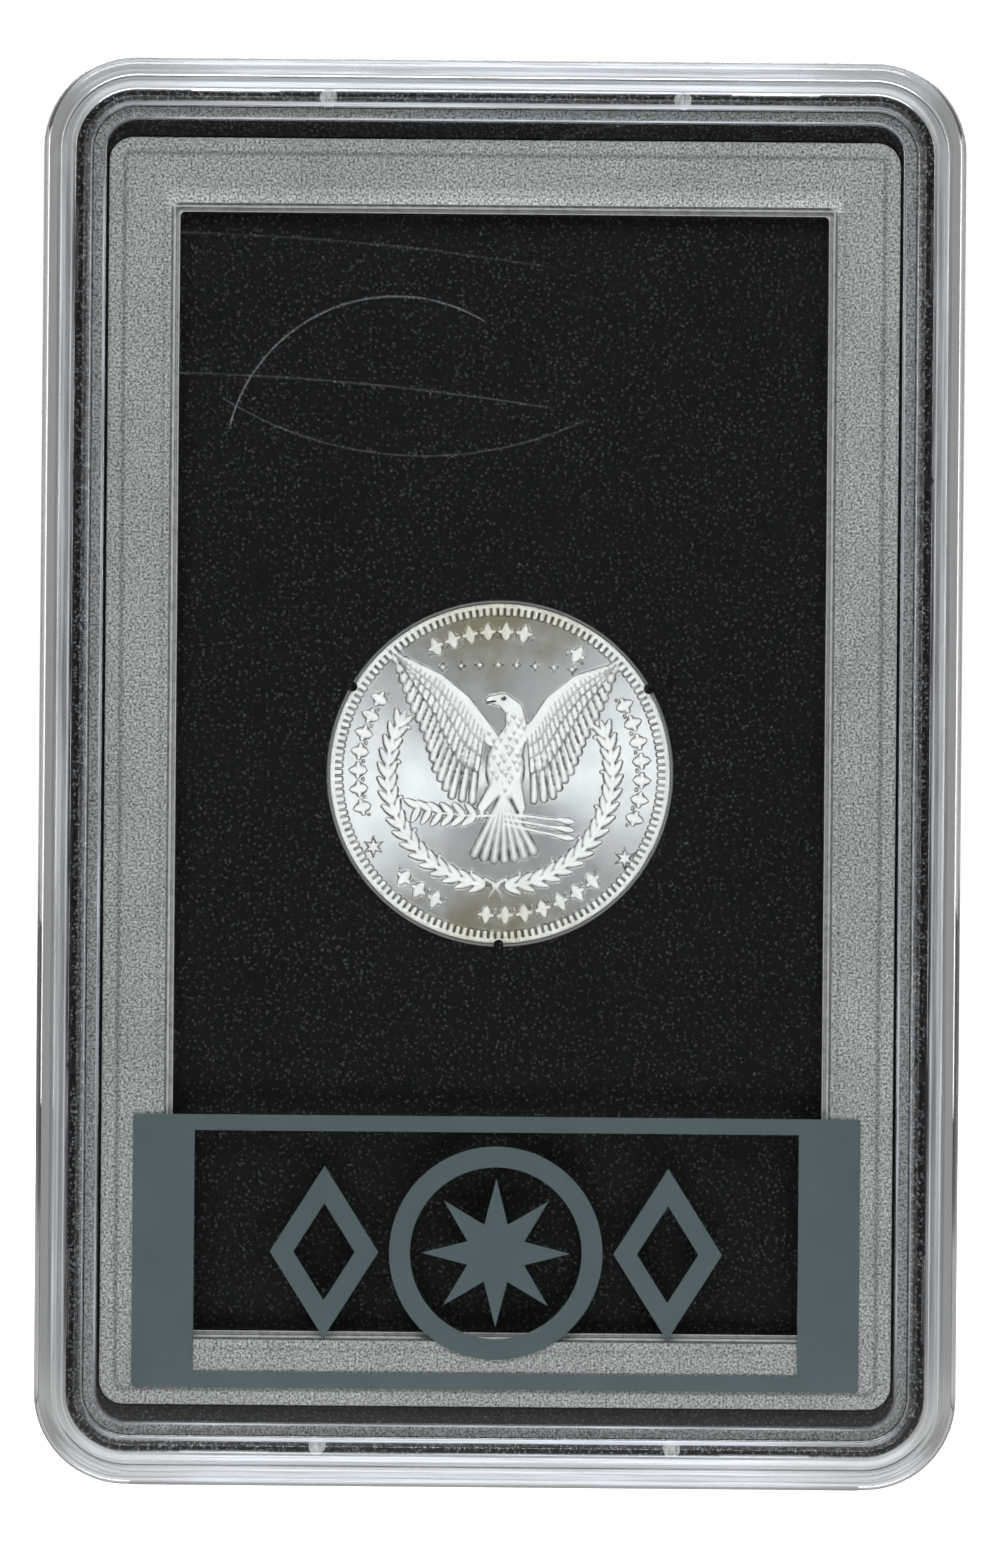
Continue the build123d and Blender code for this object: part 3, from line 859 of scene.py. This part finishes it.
def eagle(relief):
    """A spread eagle, head to the left, over an olive branch and arrows."""
    left_upper = [(0.05, 0.20), (0.085, 0.26), (0.115, 0.31), (0.2, 0.43), (0.35, 0.56), (0.61, 0.68)]
    left_lower = [(0.62, 0.69), (0.53, 0.43), (0.43, 0.22), (0.37, 0.01), (0.29, -0.13), (0.13, -0.17)]
    wing(relief, left_upper, left_lower, -1)
    right_upper = [(0.10, 0.19), (0.2, 0.28), (0.29, 0.43), (0.44, 0.56), (0.665, 0.63)]
    right_lower = [(0.67, 0.64), (0.6, 0.43), (0.48, 0.19), (0.41, 0.01), (0.30, -0.14), (0.17, -0.16)]
    wing(relief, right_upper, right_lower, 1)
    for k in range(7):
        angle = -112 + 8.5 * k
        tip = np.array((0.005, -0.1)) + np.array(polar(0.40, angle))
        relief.stroke([(0.02, -0.12), tip], [0.02, 0.032], 0.14, 0.13, 0.03)
    relief.dome(0.03, 0.03, 0.115, 0.20, 0.25)
    neck = [(0.04, 0.13), (0.095, 0.26), (0.08, 0.37), (0.02, 0.425)]
    relief.stroke(neck, [0.1, 0.07, 0.055, 0.045], 0.25, 0.24)
    relief.stroke([(0.0, 0.43), (-0.06, 0.43), (-0.095, 0.412)], [0.04, 0.024, 0.008], 0.23, 0.16)
    for row in range(11):
        for k in range(-2, 3):
            u = 0.03 + (k + 0.5 * (row % 2)) * 0.046 + 0.006 * math.sin(5 * row + 3 * k)
            v = 0.34 - row * 0.044 - 0.012 * abs(k) + 0.006 * math.cos(7 * row + k)
            for side in (-0.009, 0.009):
                relief.cut([(u + side, v + 0.006), (u, v - 0.015)], CHEST_GROOVE, 0.12)
    relief.cut([(0.012, 0.436), (0.022, 0.438)], 0.011, 0.03)
    relief.cut([(-0.085, 0.418), (-0.03, 0.425)], 0.005, 0.03)
    for foot in (-0.105, 0.125):
        leg = [(0.03 + foot * 0.45, -0.08), (foot, -0.2), (foot, -0.235)]
        relief.stroke(leg, [0.05, 0.03, 0.014], 0.2, 0.17)
        for toe in (-0.03, 0.0, 0.03):
            relief.stroke([(foot, -0.23), (foot + toe, -0.275)], [0.012, 0.007], 0.19, 0.13)
    branch = [(-0.02, -0.245), (-0.16, -0.25), (-0.33, -0.235), (-0.48, -0.19)]
    relief.stroke(branch, [0.011, 0.009], 0.17, 0.14)
    for k in range(6):
        root = along_path([(-0.14, -0.25), (-0.33, -0.235), (-0.47, -0.2)], k / 5)
        relief.leaf(root, 128 + 5 * k, 0.1, 0.026, 0.2)
        relief.leaf(root, 214 + 6 * k, 0.1, 0.026, 0.2)
    for k, drop in enumerate((0.0, -0.03, -0.06)):
        tail, head = np.array((0.03, -0.235 + drop)), np.array((0.36, -0.27 + drop * 1.6))
        relief.stroke([tail, head], [0.01, 0.01], 0.18, 0.18)
        relief.leaf(head, -8.0, 0.08, 0.024, 0.2)
        relief.leaf(head + np.array((0.02, 0.0)), 172.0, 0.05, 0.02, 0.19)


def wreath(relief):
    """Two laurel sprays tied at the bottom."""
    for side, end in ((-1, 151.0), (1, 24.0)):
        start = -92.0 + side * 3.0
        span = (end - start - 360) if side < 0 else (end - start)
        stem = [polar(WREATH_RADIUS, start + span * t) for t in np.linspace(0, 1, 40)]
        relief.stroke(stem, [0.006, 0.005], 0.12, 0.1)
        leaves = 17
        for k in range(leaves):
            angle = start + span * (k + 0.3) / leaves
            root = polar(WREATH_RADIUS, angle)
            ahead = angle + side * 90
            for lean in (-30, 30):
                relief.leaf(root, ahead + lean, 0.108, 0.026, 0.19)
            relief.leaf(polar(WREATH_RADIUS, angle + side * 1.5), ahead, 0.09, 0.02, 0.2)
            if k % 3 == 1:
                relief.dome(*polar(0.595, angle + side * 2), 0.014, 0.014, 0.17)
    relief.dome(-0.02, -0.655, 0.03, 0.022, 0.19)
    for side in (-1, 1):
        bow = [(-0.02, -0.65), (-0.02 + side * 0.06, -0.615), (-0.02 + side * 0.075, -0.665)]
        relief.stroke(bow, [0.014, 0.012], 0.16, 0.14)
        relief.stroke([(-0.02, -0.66), (-0.02 + side * 0.04, -0.725)], [0.014, 0.011], 0.15, 0.12)


def ornaments(relief, groups, radius):
    """Plain lozenges and beads along arcs, in place of any lettering."""
    for start, end in groups:
        count = max(1, round(abs(end - start) / 7.5))
        for k in range(count):
            angle = start + (end - start) * (k + 0.5) / count
            u, v = polar(radius, angle)
            relief.leaf(polar(radius - 0.05, angle), angle, 0.1, 0.036, 0.2)
            relief.dome(u, v, 0.02, 0.02, 0.22)
            for side in (-1, 1):
                relief.leaf(polar(radius, angle + 3.4 * side), angle - 90 * side, 0.045, 0.018, 0.18)
                relief.dome(*polar(radius - 0.03, angle + 3.6 * side), 0.01, 0.01, 0.14)


def shown_face(u, v):
    """The face behind the shown window."""
    relief = Relief(u, v)
    relief.band_of_denticles(DENTICLES)
    groups = ((198, 145), (121, 77), (63, 52), (33, -22), (-136, -113), (-99, -45))
    ornaments(relief, groups, ORNAMENT_RADIUS)
    for u, v in ((-0.735, -0.435), (0.732, -0.49)):
        relief.star(u, v, 0.07, 6, 0.26)
    wreath(relief)
    for k in range(8):
        across = -0.34 + k * 0.108
        relief.star(across, 0.60 + 0.035 * math.cos(across * 3), 0.032, 4, 0.2, waist=0.5)
    eagle(relief)
    return relief.height


def hidden_face(u, v):
    """The other face: a plain radiant star."""
    relief = Relief(u, v)
    relief.band_of_denticles(DENTICLES // 2)
    ornaments(relief, ((180, -180),), ORNAMENT_RADIUS)
    relief.star(0.0, 0.0, 0.6, 12, 0.25, waist=0.35)
    relief.dome(0.0, 0.0, 0.16, 0.16, 0.26)
    return relief.height


def coin_rings(bm, radii, counts, face, depth_sign):
    """One face of the coin as rings of points, with fewer points near the middle."""
    turns = [np.arange(count) * 2 * math.pi / count for count in counts]
    u = np.concatenate([[0.0]] + [r * np.cos(t) for r, t in zip(radii, turns)])
    v = np.concatenate([[0.0]] + [r * np.sin(t) for r, t in zip(radii, turns)])
    field = np.hypot(u, v) < RIM_INNER
    drop = np.where(field, FIELD_DROP - face(depth_sign * u, v), 0.0)
    verts = [
        bm.verts.new(to_world(a, r, depth_sign * (COIN_FACE - d)))
        for a, r, d in zip(COIN_RADIUS * u, COIN_RADIUS * v, drop)
    ]
    rings = []
    start = 1
    for count in counts:
        rings.append(verts[start:start + count])
        start += count
    first = rings[0]
    for i in range(len(first)):
        bm.faces.new((verts[0], first[i], first[(i + 1) % len(first)]))
    for inner, outer in zip(rings, rings[1:]):
        join_rings(bm, inner, outer)
    return rings[-1]


def join_rings(bm, inner, outer):
    """Faces between two rings, where the outer has as many points as the inner or twice."""
    step = len(outer) // len(inner)
    for i in range(len(inner)):
        j = (i + 1) % len(inner)
        span = [outer[(i * step + k) % len(outer)] for k in range(step + 1)]
        bm.faces.new((inner[i], *span, inner[j]))


def ring_layout(step, finest):
    """Radii from the middle to the denticles' outer edge, and how many points each ring has."""
    radii = list(np.arange(step, RIM_INNER - step / 2, step))
    counts = []
    for radius in radii:
        count = finest
        while radius < count / finest * 0.5 and count % 2 == 0:
            count //= 2
        counts.append(count)
    return radii + [RIM_INNER - 0.0015, RIM_INNER + 0.004, 0.99], counts + [finest] * 3


# The coin's mesh, in millimetres: the spacing of its points, and its reeded edge.
POINT_STEP = 0.155
HIDDEN_COARSER = 2.2
POINTS_PER_DENTICLE = 6
REED_DEPTH = 0.07
EDGE_BEVEL = 0.16
COIN_SHARP_ANGLE = math.radians(50)


def coin_mesh():
    """The whole coin: two struck faces, a rounded rim and a reeded edge."""
    bm = bmesh.new()
    finest = DENTICLES * POINTS_PER_DENTICLE
    step = POINT_STEP / COIN_RADIUS
    shown_edge = coin_rings(bm, *ring_layout(step, finest), shown_face, 1)
    layout = ring_layout(step * HIDDEN_COARSER, finest // 2)
    hidden_edge = coin_rings(bm, *layout, hidden_face, -1)
    levels = []
    for depth in (COIN_FACE - EDGE_BEVEL, 0.0, EDGE_BEVEL - COIN_FACE):
        ring = []
        for k in range(finest):
            angle = 2 * math.pi * k / finest
            radius = COIN_RADIUS - (REED_DEPTH if k % 4 in (1, 2) else 0.0)
            place = radius * math.cos(angle), radius * math.sin(angle)
            ring.append(bm.verts.new(to_world(*place, depth)))
        levels.append(ring)
    join_rings(bm, shown_edge, levels[0])
    join_rings(bm, levels[0], levels[1])
    join_rings(bm, levels[1], levels[2])
    join_rings(bm, hidden_edge, levels[2])
    bmesh.ops.triangulate(bm, faces=bm.faces)
    return mesh_from(bm, "coin_struck")


def coin_silver():
    """Struck silver: a lustrous field that flows outwards, frosty relief with painted shade as dark
    outlines round its foot, and golden toning at the top and bottom."""
    n = Nodes("coin_silver")
    across, rise = [place / COIN_RADIUS for place in n.from_middle()]
    drop = COIN_FACE * MM - abs(CENTRE.y - n.axes()[1])
    height = n.range(drop, FIELD_DROP * MM, 0.04 * MM)
    raised = n.range(height, 0.25, 0.5)
    away = abs(rise * 0.95) + n.patches(-0.25, 0.25, 6.0, 3.0, 0.6)
    toning = n.range(away - abs(across) * 0.4, 0.35, 0.95, 0.0, 0.85, True)
    silver = n.mix(n.patches(0.0, 1.0, 3.0, 4.0), (0.92, 0.925, 0.92, 1), (0.79, 0.80, 0.81, 1))
    toned = n.mix(toning, silver, (0.53, 0.465, 0.30, 1))
    toned = n.mix(raised * 0.45, toned, (0.97, 0.965, 0.95, 1))
    # Painted shade: dark outlines on the low parts of the relief and along its grooves.
    edge = n.range(height, 0.02, 0.10) * n.range(height, 0.62, 0.30)
    outline_shade = edge * n.range(n.noise(0.9, 4.0, 0.7), 0.3, 0.6, 0.45, 0.95)
    colour = n.mix(outline_shade, toned, (0.10, 0.095, 0.085, 1))
    frost = n.noise(0.3, 4.0, 0.7) * (raised * 1.6 + 0.25)
    relief = n.bump(frost + n.noise(0.7, 3.0, 0.6) * 0.5, 0.09)
    metal = dict(Base_Color=colour, Metallic=1.0, Normal=relief)
    around = n.add("Tangent", direction_type="RADIAL", axis="Y")
    flow = n.add("BsdfPrincipled", Roughness=0.38, Anisotropic=0.86, Tangent=around, **metal)
    satin = n.add("BsdfPrincipled", Roughness=n.range(raised, 0.0, 1.0, 0.3, 0.46), **metal)
    return n.surface(n.add("MixShader", n.range(raised, 0.0, 1.0, 0.08, 0.8), flow, satin))


# --- The pieces ------------------------------------------------------------------------------------
# The size of the waves in the moulded windows, and their height.
MOULDED_WAVE = (5.0, 0.012)
STYRENE = (0.985, 0.992, 0.995)
CLEAR = clear_plastic("clear_styrene", STYRENE, 0.0, MOULDED_WAVE)
CLEAR_BACK = clear_plastic("clear_scratched", STYRENE, 0.0, MOULDED_WAVE, scratches=True)
# The rim's slope: a haze of scuffs, kept mostly to the ends as a painted highlight of the lamps above
# and below.
SCUFFS_AND_HIGHLIGHT = faint_plastic("slope_scuffs_and_highlight", (0.55, 0.95, 0.14, 4.85))
GLINT = clear_plastic("rib_glint", STYRENE, 0.05, haze=(0.35, 0.8, 0.8, 0.0))
# Whitish weld marks on the tongue's end, kept stronger along the ends as a painted highlight.
WELD_MARKS_AND_HIGHLIGHT = clear_plastic("weld_marks_and_highlight", STYRENE, 0.05, haze=(0.0, 0.5, 0.5, 0.0))
RIM_LINES = lined_rim("rim_lines", STYRENE)
CLEAR_CASE = clear_plastic("clear_case", (0.98, 0.985, 0.985), 0.0)
FAINT = faint_plastic("faint_clear")
# One pin mark material used twice: painted lit for the top and foot, and painted shaded for the sides.
LIT_PIN_MARK = pin_mark("lit_pin_mark", 0.45)
SHADED_PIN_MARK = pin_mark("shaded_pin_mark", 0.012)
TEXTURED = textured_plastic()
FROSTED = frosted_plastic()
EDGE_SHEEN = edge_painted_sheen()


# How far past its last step a window plate's outermost loop of points lies.
PLATE_EDGE = 1.5


def slab_back():
    """Back shell: window, sloped rim, side wall, groove and the rib that locates the case."""
    section = [
        (RIM_WIDTH + RIM_SLOPE + PLATE_EDGE, BACK_WINDOW),
        (RIM_WIDTH + RIM_SLOPE, BACK_WINDOW),
        (RIM_WIDTH, BACK_RIM),
        (0, BACK_RIM),
        (0, PARTING_GAP),
        (SLAB_WALL, PARTING_GAP),
        (SLAB_WALL, TONGUE_RISE + WELD_GAP),
        (TONGUE_INSIDE, TONGUE_RISE + WELD_GAP),
        (TONGUE_INSIDE, BACK_INSIDE),
        (RIB_OUTSIDE, BACK_INSIDE),
        (RIB_OUTSIDE, BACK_INSIDE - RIB_DROP),
        (RIB_INSIDE, BACK_INSIDE - RIB_DROP),
        (RIB_INSIDE, BACK_INSIDE),
        (RIB_INSIDE + PLATE_EDGE, BACK_INSIDE),
    ]
    rounds = {1: 0.3, 2: 0.16, 3: RIM_ROUND, 4: 0.25, 10: 0.2, 11: 0.3}
    loops, bands = rounded(section, slab_loop, rounds, 6)
    slope, rib_foot = 1, 10
    special = dict.fromkeys(range(bands[slope] - 4, bands[slope + 1]), 2)
    special[bands[rib_foot]] = 1
    special.update(dict.fromkeys(range(bands[rib_foot] + 1, bands[rib_foot + 1]), 3))
    special.update(dict.fromkeys(range(bands[slope + 1], bands[slope + 2]), 4))
    mesh = swept_mesh("slab_back_clear", loops, True, special)
    materials = [CLEAR_BACK, TEXTURED, SCUFFS_AND_HIGHLIGHT, GLINT, RIM_LINES]
    finish_mesh(mesh, materials, ["slab_back_shell"])


def slab_front():
    """Front shell: window, stacking ridge, side wall and tongue, with its keys and label rib."""
    crest = RIDGE_OUTSIDE + RIM_SLOPE
    section = [
        (crest + RIDGE_CREST + RIDGE_INNER_SLOPE + PLATE_EDGE, FRONT_WINDOW),
        (crest + RIDGE_CREST + RIDGE_INNER_SLOPE, FRONT_WINDOW),
        (crest + RIDGE_CREST, FRONT_RIDGE),
        (crest, FRONT_RIDGE),
        (RIDGE_OUTSIDE, FRONT_WINDOW),
        (0, FRONT_WINDOW),
        (0, 0),
        (SLAB_WALL + FIT_GAP, 0),
        (SLAB_WALL + FIT_GAP, TONGUE_RISE),
        (TONGUE_INSIDE, TONGUE_RISE),
        (TONGUE_INSIDE, FRONT_INSIDE),
        (TONGUE_INSIDE + PLATE_EDGE, FRONT_INSIDE),
    ]
    rounds = {1: 0.3, 2: 0.2, 3: 0.2, 4: 0.3, 5: FRONT_ROUND, 6: 0.2}
    loops, bands = rounded(section, slab_loop, rounds, 5)
    tongue_end = 8
    mesh = swept_mesh("slab_front_clear", loops, True, {bands[tongue_end]: 1})
    finish_mesh(mesh, [CLEAR, WELD_MARKS_AND_HIGHLIGHT], ["slab_front_shell"])
    slab_keys()
    pin_marks()
    label_rib()


def slab_keys():
    """Eight keys on the tongue that sit in the gasket's notches."""
    across, rise, _ = slab_loop(KEY_FROM_CORNER)
    side, end, _ = slab_loop(TONGUE_INSIDE + WELD_GAP)
    half = KEY_LENGTH / 2
    boxes = []
    for sa in (-1, 1):
        for sr in (-1, 1):
            ends = sorted((sr * end, sr * (end - KEY_DEPTH)))
            low, high = sa * across - half, sa * across + half
            boxes.append(((low, ends[0], FRONT_INSIDE), (high, ends[1], TONGUE_RISE)))
            sides = sorted((sa * side, sa * (side - KEY_DEPTH)))
            low, high = sr * rise - half, sr * rise + half
            boxes.append(((sides[0], low, FRONT_INSIDE), (sides[1], high, TONGUE_RISE)))
    finish_mesh(boxes_mesh("slab_keys", boxes, KEY_ROUND), [FAINT])


def pin_marks():
    """Ejector pin marks over the gasket's flange: a painted lit copy at the top and foot, and a painted
    shaded copy at the sides.
    """
    inset = TONGUE_INSIDE + FIT_GAP + PIN_MARK_INSET
    side, end, _ = slab_loop(inset)
    ends = [(sa * PIN_MARK_ACROSS, sr * end) for sa in (-1, 1) for sr in (-1, 1)]
    sides = [(sa * side, sr * PIN_MARK_RISE) for sa in (-1, 1) for sr in (-1, 1)]
    low, high = BACK_INSIDE - FIT_GAP + WELD_GAP, BACK_INSIDE - WELD_GAP
    for name, places, material in (("ends", ends, LIT_PIN_MARK), ("sides", sides, SHADED_PIN_MARK)):
        bm = bmesh.new()
        for across, rise in places:
            rings = []
            levels = (0.75, low), (1.0, low + WELD_GAP), (1.0, high - WELD_GAP), (0.8, high)
            for radius, depth in levels:
                ring = []
                for k in range(PIN_MARK_STEPS):
                    angle = 2 * math.pi * k / PIN_MARK_STEPS
                    reach = radius * PIN_MARK_RADIUS * (1 + 0.05 * math.sin(3 * angle + rise))
                    place = across + reach * math.cos(angle), rise + reach * math.sin(angle)
                    ring.append(bm.verts.new(to_world(*place, depth)))
                rings.append(ring)
            for one, two in zip(rings, rings[1:]):
                join_rings(bm, one, two)
            bm.faces.new(rings[0])
            bm.faces.new(rings[-1])
        finish_mesh(mesh_from(bm, f"pin_marks_{name}"), [material])


def label_rib():
    """The low rib above the label card."""
    low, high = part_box("label_card")
    foot = (high.z - CENTRE.z) / MM + LABEL_RIB_GAP
    half = (high.x - low.x) / MM / 2
    depths = FRONT_INSIDE + WELD_GAP, FRONT_INSIDE + LABEL_RIB_DEPTH
    boxes = [((-half, foot, depths[0]), (half, foot + LABEL_RIB_WIDTH, depths[1]))]
    mesh = boxes_mesh("slab_label_rib", boxes, LABEL_RIB_ROUND)
    finish_mesh(mesh, [CLEAR])


# Half the gap where the inner case's halves meet, and the small slopes beside its window.
HALF_GAP = 0.01
BEAD_SLOPE = 0.05
LIP_SLOPE = 0.06
CASE_ROUND_STEPS = 5


def case_half(side, name, node):
    """One half of the inner case: frosted border ring and clear window plate."""
    loops = []
    for k in range(CASE_ROUND_STEPS + 1):
        angle = math.pi / 2 * k / CASE_ROUND_STEPS
        inset = CASE_ROUND * (1 - math.sin(angle))
        loops.append((case_loop(inset), CASE_FACE - CASE_ROUND * (1 - math.cos(angle))))
    inside, outside, crest = CASE_FACE - CASE_BORDER_PLATE, CASE_WINDOW_OUTSIDE, BEAD_RISE
    for inset, depth in ((0.0, HALF_GAP), (CASE_WALL, HALF_GAP), (CASE_WALL, inside)):
        loops.append((case_loop(inset), depth))
    for lap, depth in (
        (INSERT_ROOM + INSERT_RIB, inside),
        (INSERT_ROOM + INSERT_RIB, HALF_GAP),
        (INSERT_ROOM, HALF_GAP),
        (INSERT_ROOM, inside),
        (CASE_WINDOW_LAP + WELD_GAP, inside),
        (CASE_WINDOW_LAP + WELD_GAP, outside),
        (-BEAD_WIDTH, outside),
        (-BEAD_WIDTH, outside + crest / 2),
        (-BEAD_WIDTH + crest / 2, outside + crest),
        (-BEAD_SLOPE, outside + crest),
        (BEAD_SLOPE, outside + crest / 2),
        (CASE_WINDOW_SLOPE, CASE_FACE - LIP_SLOPE),
        (CASE_WINDOW_SLOPE + LIP_SLOPE, CASE_FACE),
    ):
        loops.append((window_loop(lap), depth))
    # The bands of the window's sides, which carry the painted highlight and shade lines.
    sheen_bands = dict.fromkeys(range(len(loops) - 7, len(loops) - 1), 1)
    mesh = swept_mesh(f"{name}_border", [(loop, side * depth) for loop, depth in loops], False, sheen_bands)
    finish_mesh(mesh, [FROSTED, EDGE_SHEEN], [node])
    plate = [
        (window_loop(CASE_WINDOW_LAP - 0.1), side * CASE_WINDOW_INSIDE),
        (window_loop(CASE_WINDOW_LAP), side * (CASE_WINDOW_INSIDE + 0.1)),
        (window_loop(CASE_WINDOW_LAP), side * (outside - WELD_GAP)),
    ]
    finish_mesh(swept_mesh(f"{name}_window", plate, True), [CLEAR_CASE])


slab_back()
slab_front()
case_half(1, "case_back", "case_back_shell")
case_half(-1, "case_front", "case_front_shell")
finish_mesh(coin_mesh(), [coin_silver()], ["coin"], "coin", COIN_SHARP_ANGLE)


def repaint(node, material):
    """Gives a CAD node, whose shape is right, its finished material."""
    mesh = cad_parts[node].data
    for i in range(len(mesh.materials)):
        mesh.materials[i] = material
    smoothed(mesh)


PRONG_SCAR = (17.9, 10.3, 1.5)
# The insert's grain: painted sparkle that lightens its tops, as (grain from, grain to, brightness from,
# brightness to).
INSERT_SHEEN = (0.82, 1.08, 0.0, 15.0)
INSERT_GRAIN = black_grain("insert_grain", 0.0034, 0.34, 0.2, 0.34, 0.76, INSERT_SHEEN, PRONG_SCAR)
repaint("coin_insert_back", INSERT_GRAIN)
repaint("coin_insert_front", INSERT_GRAIN)
# The gasket's grain: painted sparkle that lightens its tops, as (grain from, grain to, brightness from,
# brightness to).
GASKET_SHEEN = (0.74, 1.08, 0.0, 6.5)
GASKET_FADE = (5.6, 6.8, 1.0, 0.3)
GASKET_GRAIN = black_grain("gasket_grain", 0.026, 0.26, 0.12, 0.4, 0.74, GASKET_SHEEN, fade=GASKET_FADE)
repaint("gasket_frame", GASKET_GRAIN)
repaint("back_panel_print", printed_ink("panel_ink", (0.073, 0.098, 0.104)))
repaint("label_card", card_stock())
repaint("label_card_print", printed_ink("label_ink", (0.10, 0.16, 0.21), 0.6))
repaint("insert_foil_stamp", stamped_foil())

# --- Studio --------------------------------------------------------------------------------------
FRAME_HEIGHT = 172.6
CAMERA_DISTANCE = 632.0
SENSOR = 36.0
ROLL = math.radians(0.5)


def look_at(thing, target):
    """Turns a camera or lamp to face a place."""
    way = target - thing.location
    thing.rotation_mode = "QUATERNION"
    thing.rotation_quaternion = way.to_track_quat("-Z", "Y")


def studio_camera():
    data = bpy.data.cameras.new("camera")
    data.sensor_width = SENSOR
    data.lens = SENSOR * CAMERA_DISTANCE / FRAME_HEIGHT
    data.clip_start = 0.01
    data.clip_end = 50
    camera = add_object("camera", data)
    camera.location = to_world(0, 0, CAMERA_DISTANCE)
    camera.rotation_euler = (math.pi / 2, -ROLL, 0)
    bpy.context.scene.camera = camera


def softbox(name, place, size, power, colour=(1.0, 1.0, 1.0)):
    """A soft rectangular lamp facing the slab, with its place in millimetres from the coin."""
    data = bpy.data.lights.new(name, "AREA")
    data.shape = "RECTANGLE"
    data.size, data.size_y = size[0] * MM, size[1] * MM
    data.energy = power
    data.color = colour
    lamp = add_object(name, data)
    lamp.location = to_world(*place)
    look_at(lamp, CENTRE)
    lamp.visible_camera = False


def studio_level(n, way, edge, bent, direct):
    """Brightness of the surround: direct to the camera, grey seen straight through the clear
    plastic, and in its reflections dark ahead of the slab, and lighter at the sides and behind.

    way runs from -1 straight ahead to 1 straight behind; edge runs to 1 at the top and the
    foot; bent is how light that the plastic has turned aside differs.
    """
    mirrored = n.ramp(n.range(way, -1.0, 1.0), MIRRORED)
    bounced = n.math("GREATER_THAN", n.ray("Glossy Depth") + n.ray("Diffuse Depth"), 0.5)
    through = n.range(edge, 0.0, 1.0, SEEN_THROUGH, SEEN_THROUGH_ENDS, True) * bent
    camera = n.ray("Is Camera Ray")
    return camera * direct + (1.0 - camera) * ((1.0 - bounced) * through + bounced * mirrored)


def studio_world():
    """White behind the slab."""
    n = Nodes("studio", world=True)
    bpy.context.scene.world = n.material
    _, along, up = n.add("SeparateXYZ", n.add("TexCoord", out="Generated")).outputs()
    edge, bent = n.range(abs(up), 0.10, 0.125), n.ramp(abs(along), BENT_LIGHT)
    n.surface(n.add("Background", (1, 1, 1, 1), studio_level(n, along, edge, bent, WHITE)))


def studio_floor():
    """A plain pale floor that meets the white surround."""
    bm = bmesh.new()
    bmesh.ops.create_circle(bm, cap_ends=True, radius=FLOOR_RADIUS, segments=96)
    mesh = mesh_from(bm, "floor")
    floor = add_object("floor", mesh)
    floor.visible_shadow = False
    n = Nodes("floor")
    along = n.axes()[1]
    way = along / n.math("SQRT", along**2.0 + CENTRE.z**2)
    level = studio_level(n, way, n.range(along, 0.16, 0.0), 1.0, FLOOR_GLOW)
    black = n.add("BsdfDiffuse", (0.0, 0.0, 0.0, 1))
    lit = over(n, black, (0.8, 0.8, 0.8, 1), n.ray("Is Camera Ray"))
    mesh.materials.append(n.surface(n.add("AddShader", lit, n.add("Emission", Strength=level))))


# Brightness of the surround in reflections, from straight ahead of the slab to straight behind.
MIRRORED = (
    (0.0, 0.005), (0.04, 0.005), (0.22, 0.3), (0.7, 0.25), (0.85, 0.7), (0.97, 0.45),
    (0.985, 0.45), (0.993, 0.1),
)
SEEN_THROUGH = 0.34
SEEN_THROUGH_ENDS = 0.62
# How much brighter light that the plastic has turned aside is, from across to straight on.
BENT_LIGHT = (
    (0.0, 0.3), (0.45, 0.3), (0.58, 1.7), (0.72, 0.3), (0.85, 2.0), (0.93, 0.45), (0.975, 1.0),
)
WHITE = 1.06
FLOOR_GLOW = 0.85
FLOOR_RADIUS = 3.0

studio_camera()
studio_world()
studio_floor()
softbox("softbox_top", (-60, 430, 420), (520, 200), 3.0, (0.98, 0.99, 1.0))
softbox("softbox_low", (60, -430, 420), (520, 200), 2.7)
softbox("softbox_left", (-560, 40, 260), (200, 420), 1.1, (1.0, 0.99, 0.97))
softbox("softbox_right", (560, 40, 260), (200, 420), 1.1)
softbox("softbox_behind", (0, 420, -480), (500, 260), 4.5)

scene = bpy.context.scene
scene.view_settings.view_transform = "Standard"
scene.view_settings.look = "None"
scene.cycles.max_bounces = 16
scene.cycles.transmission_bounces = 16
scene.cycles.transparent_max_bounces = 24
scene.cycles.sample_clamp_indirect = 4.0
scene.cycles.caustics_refractive = False
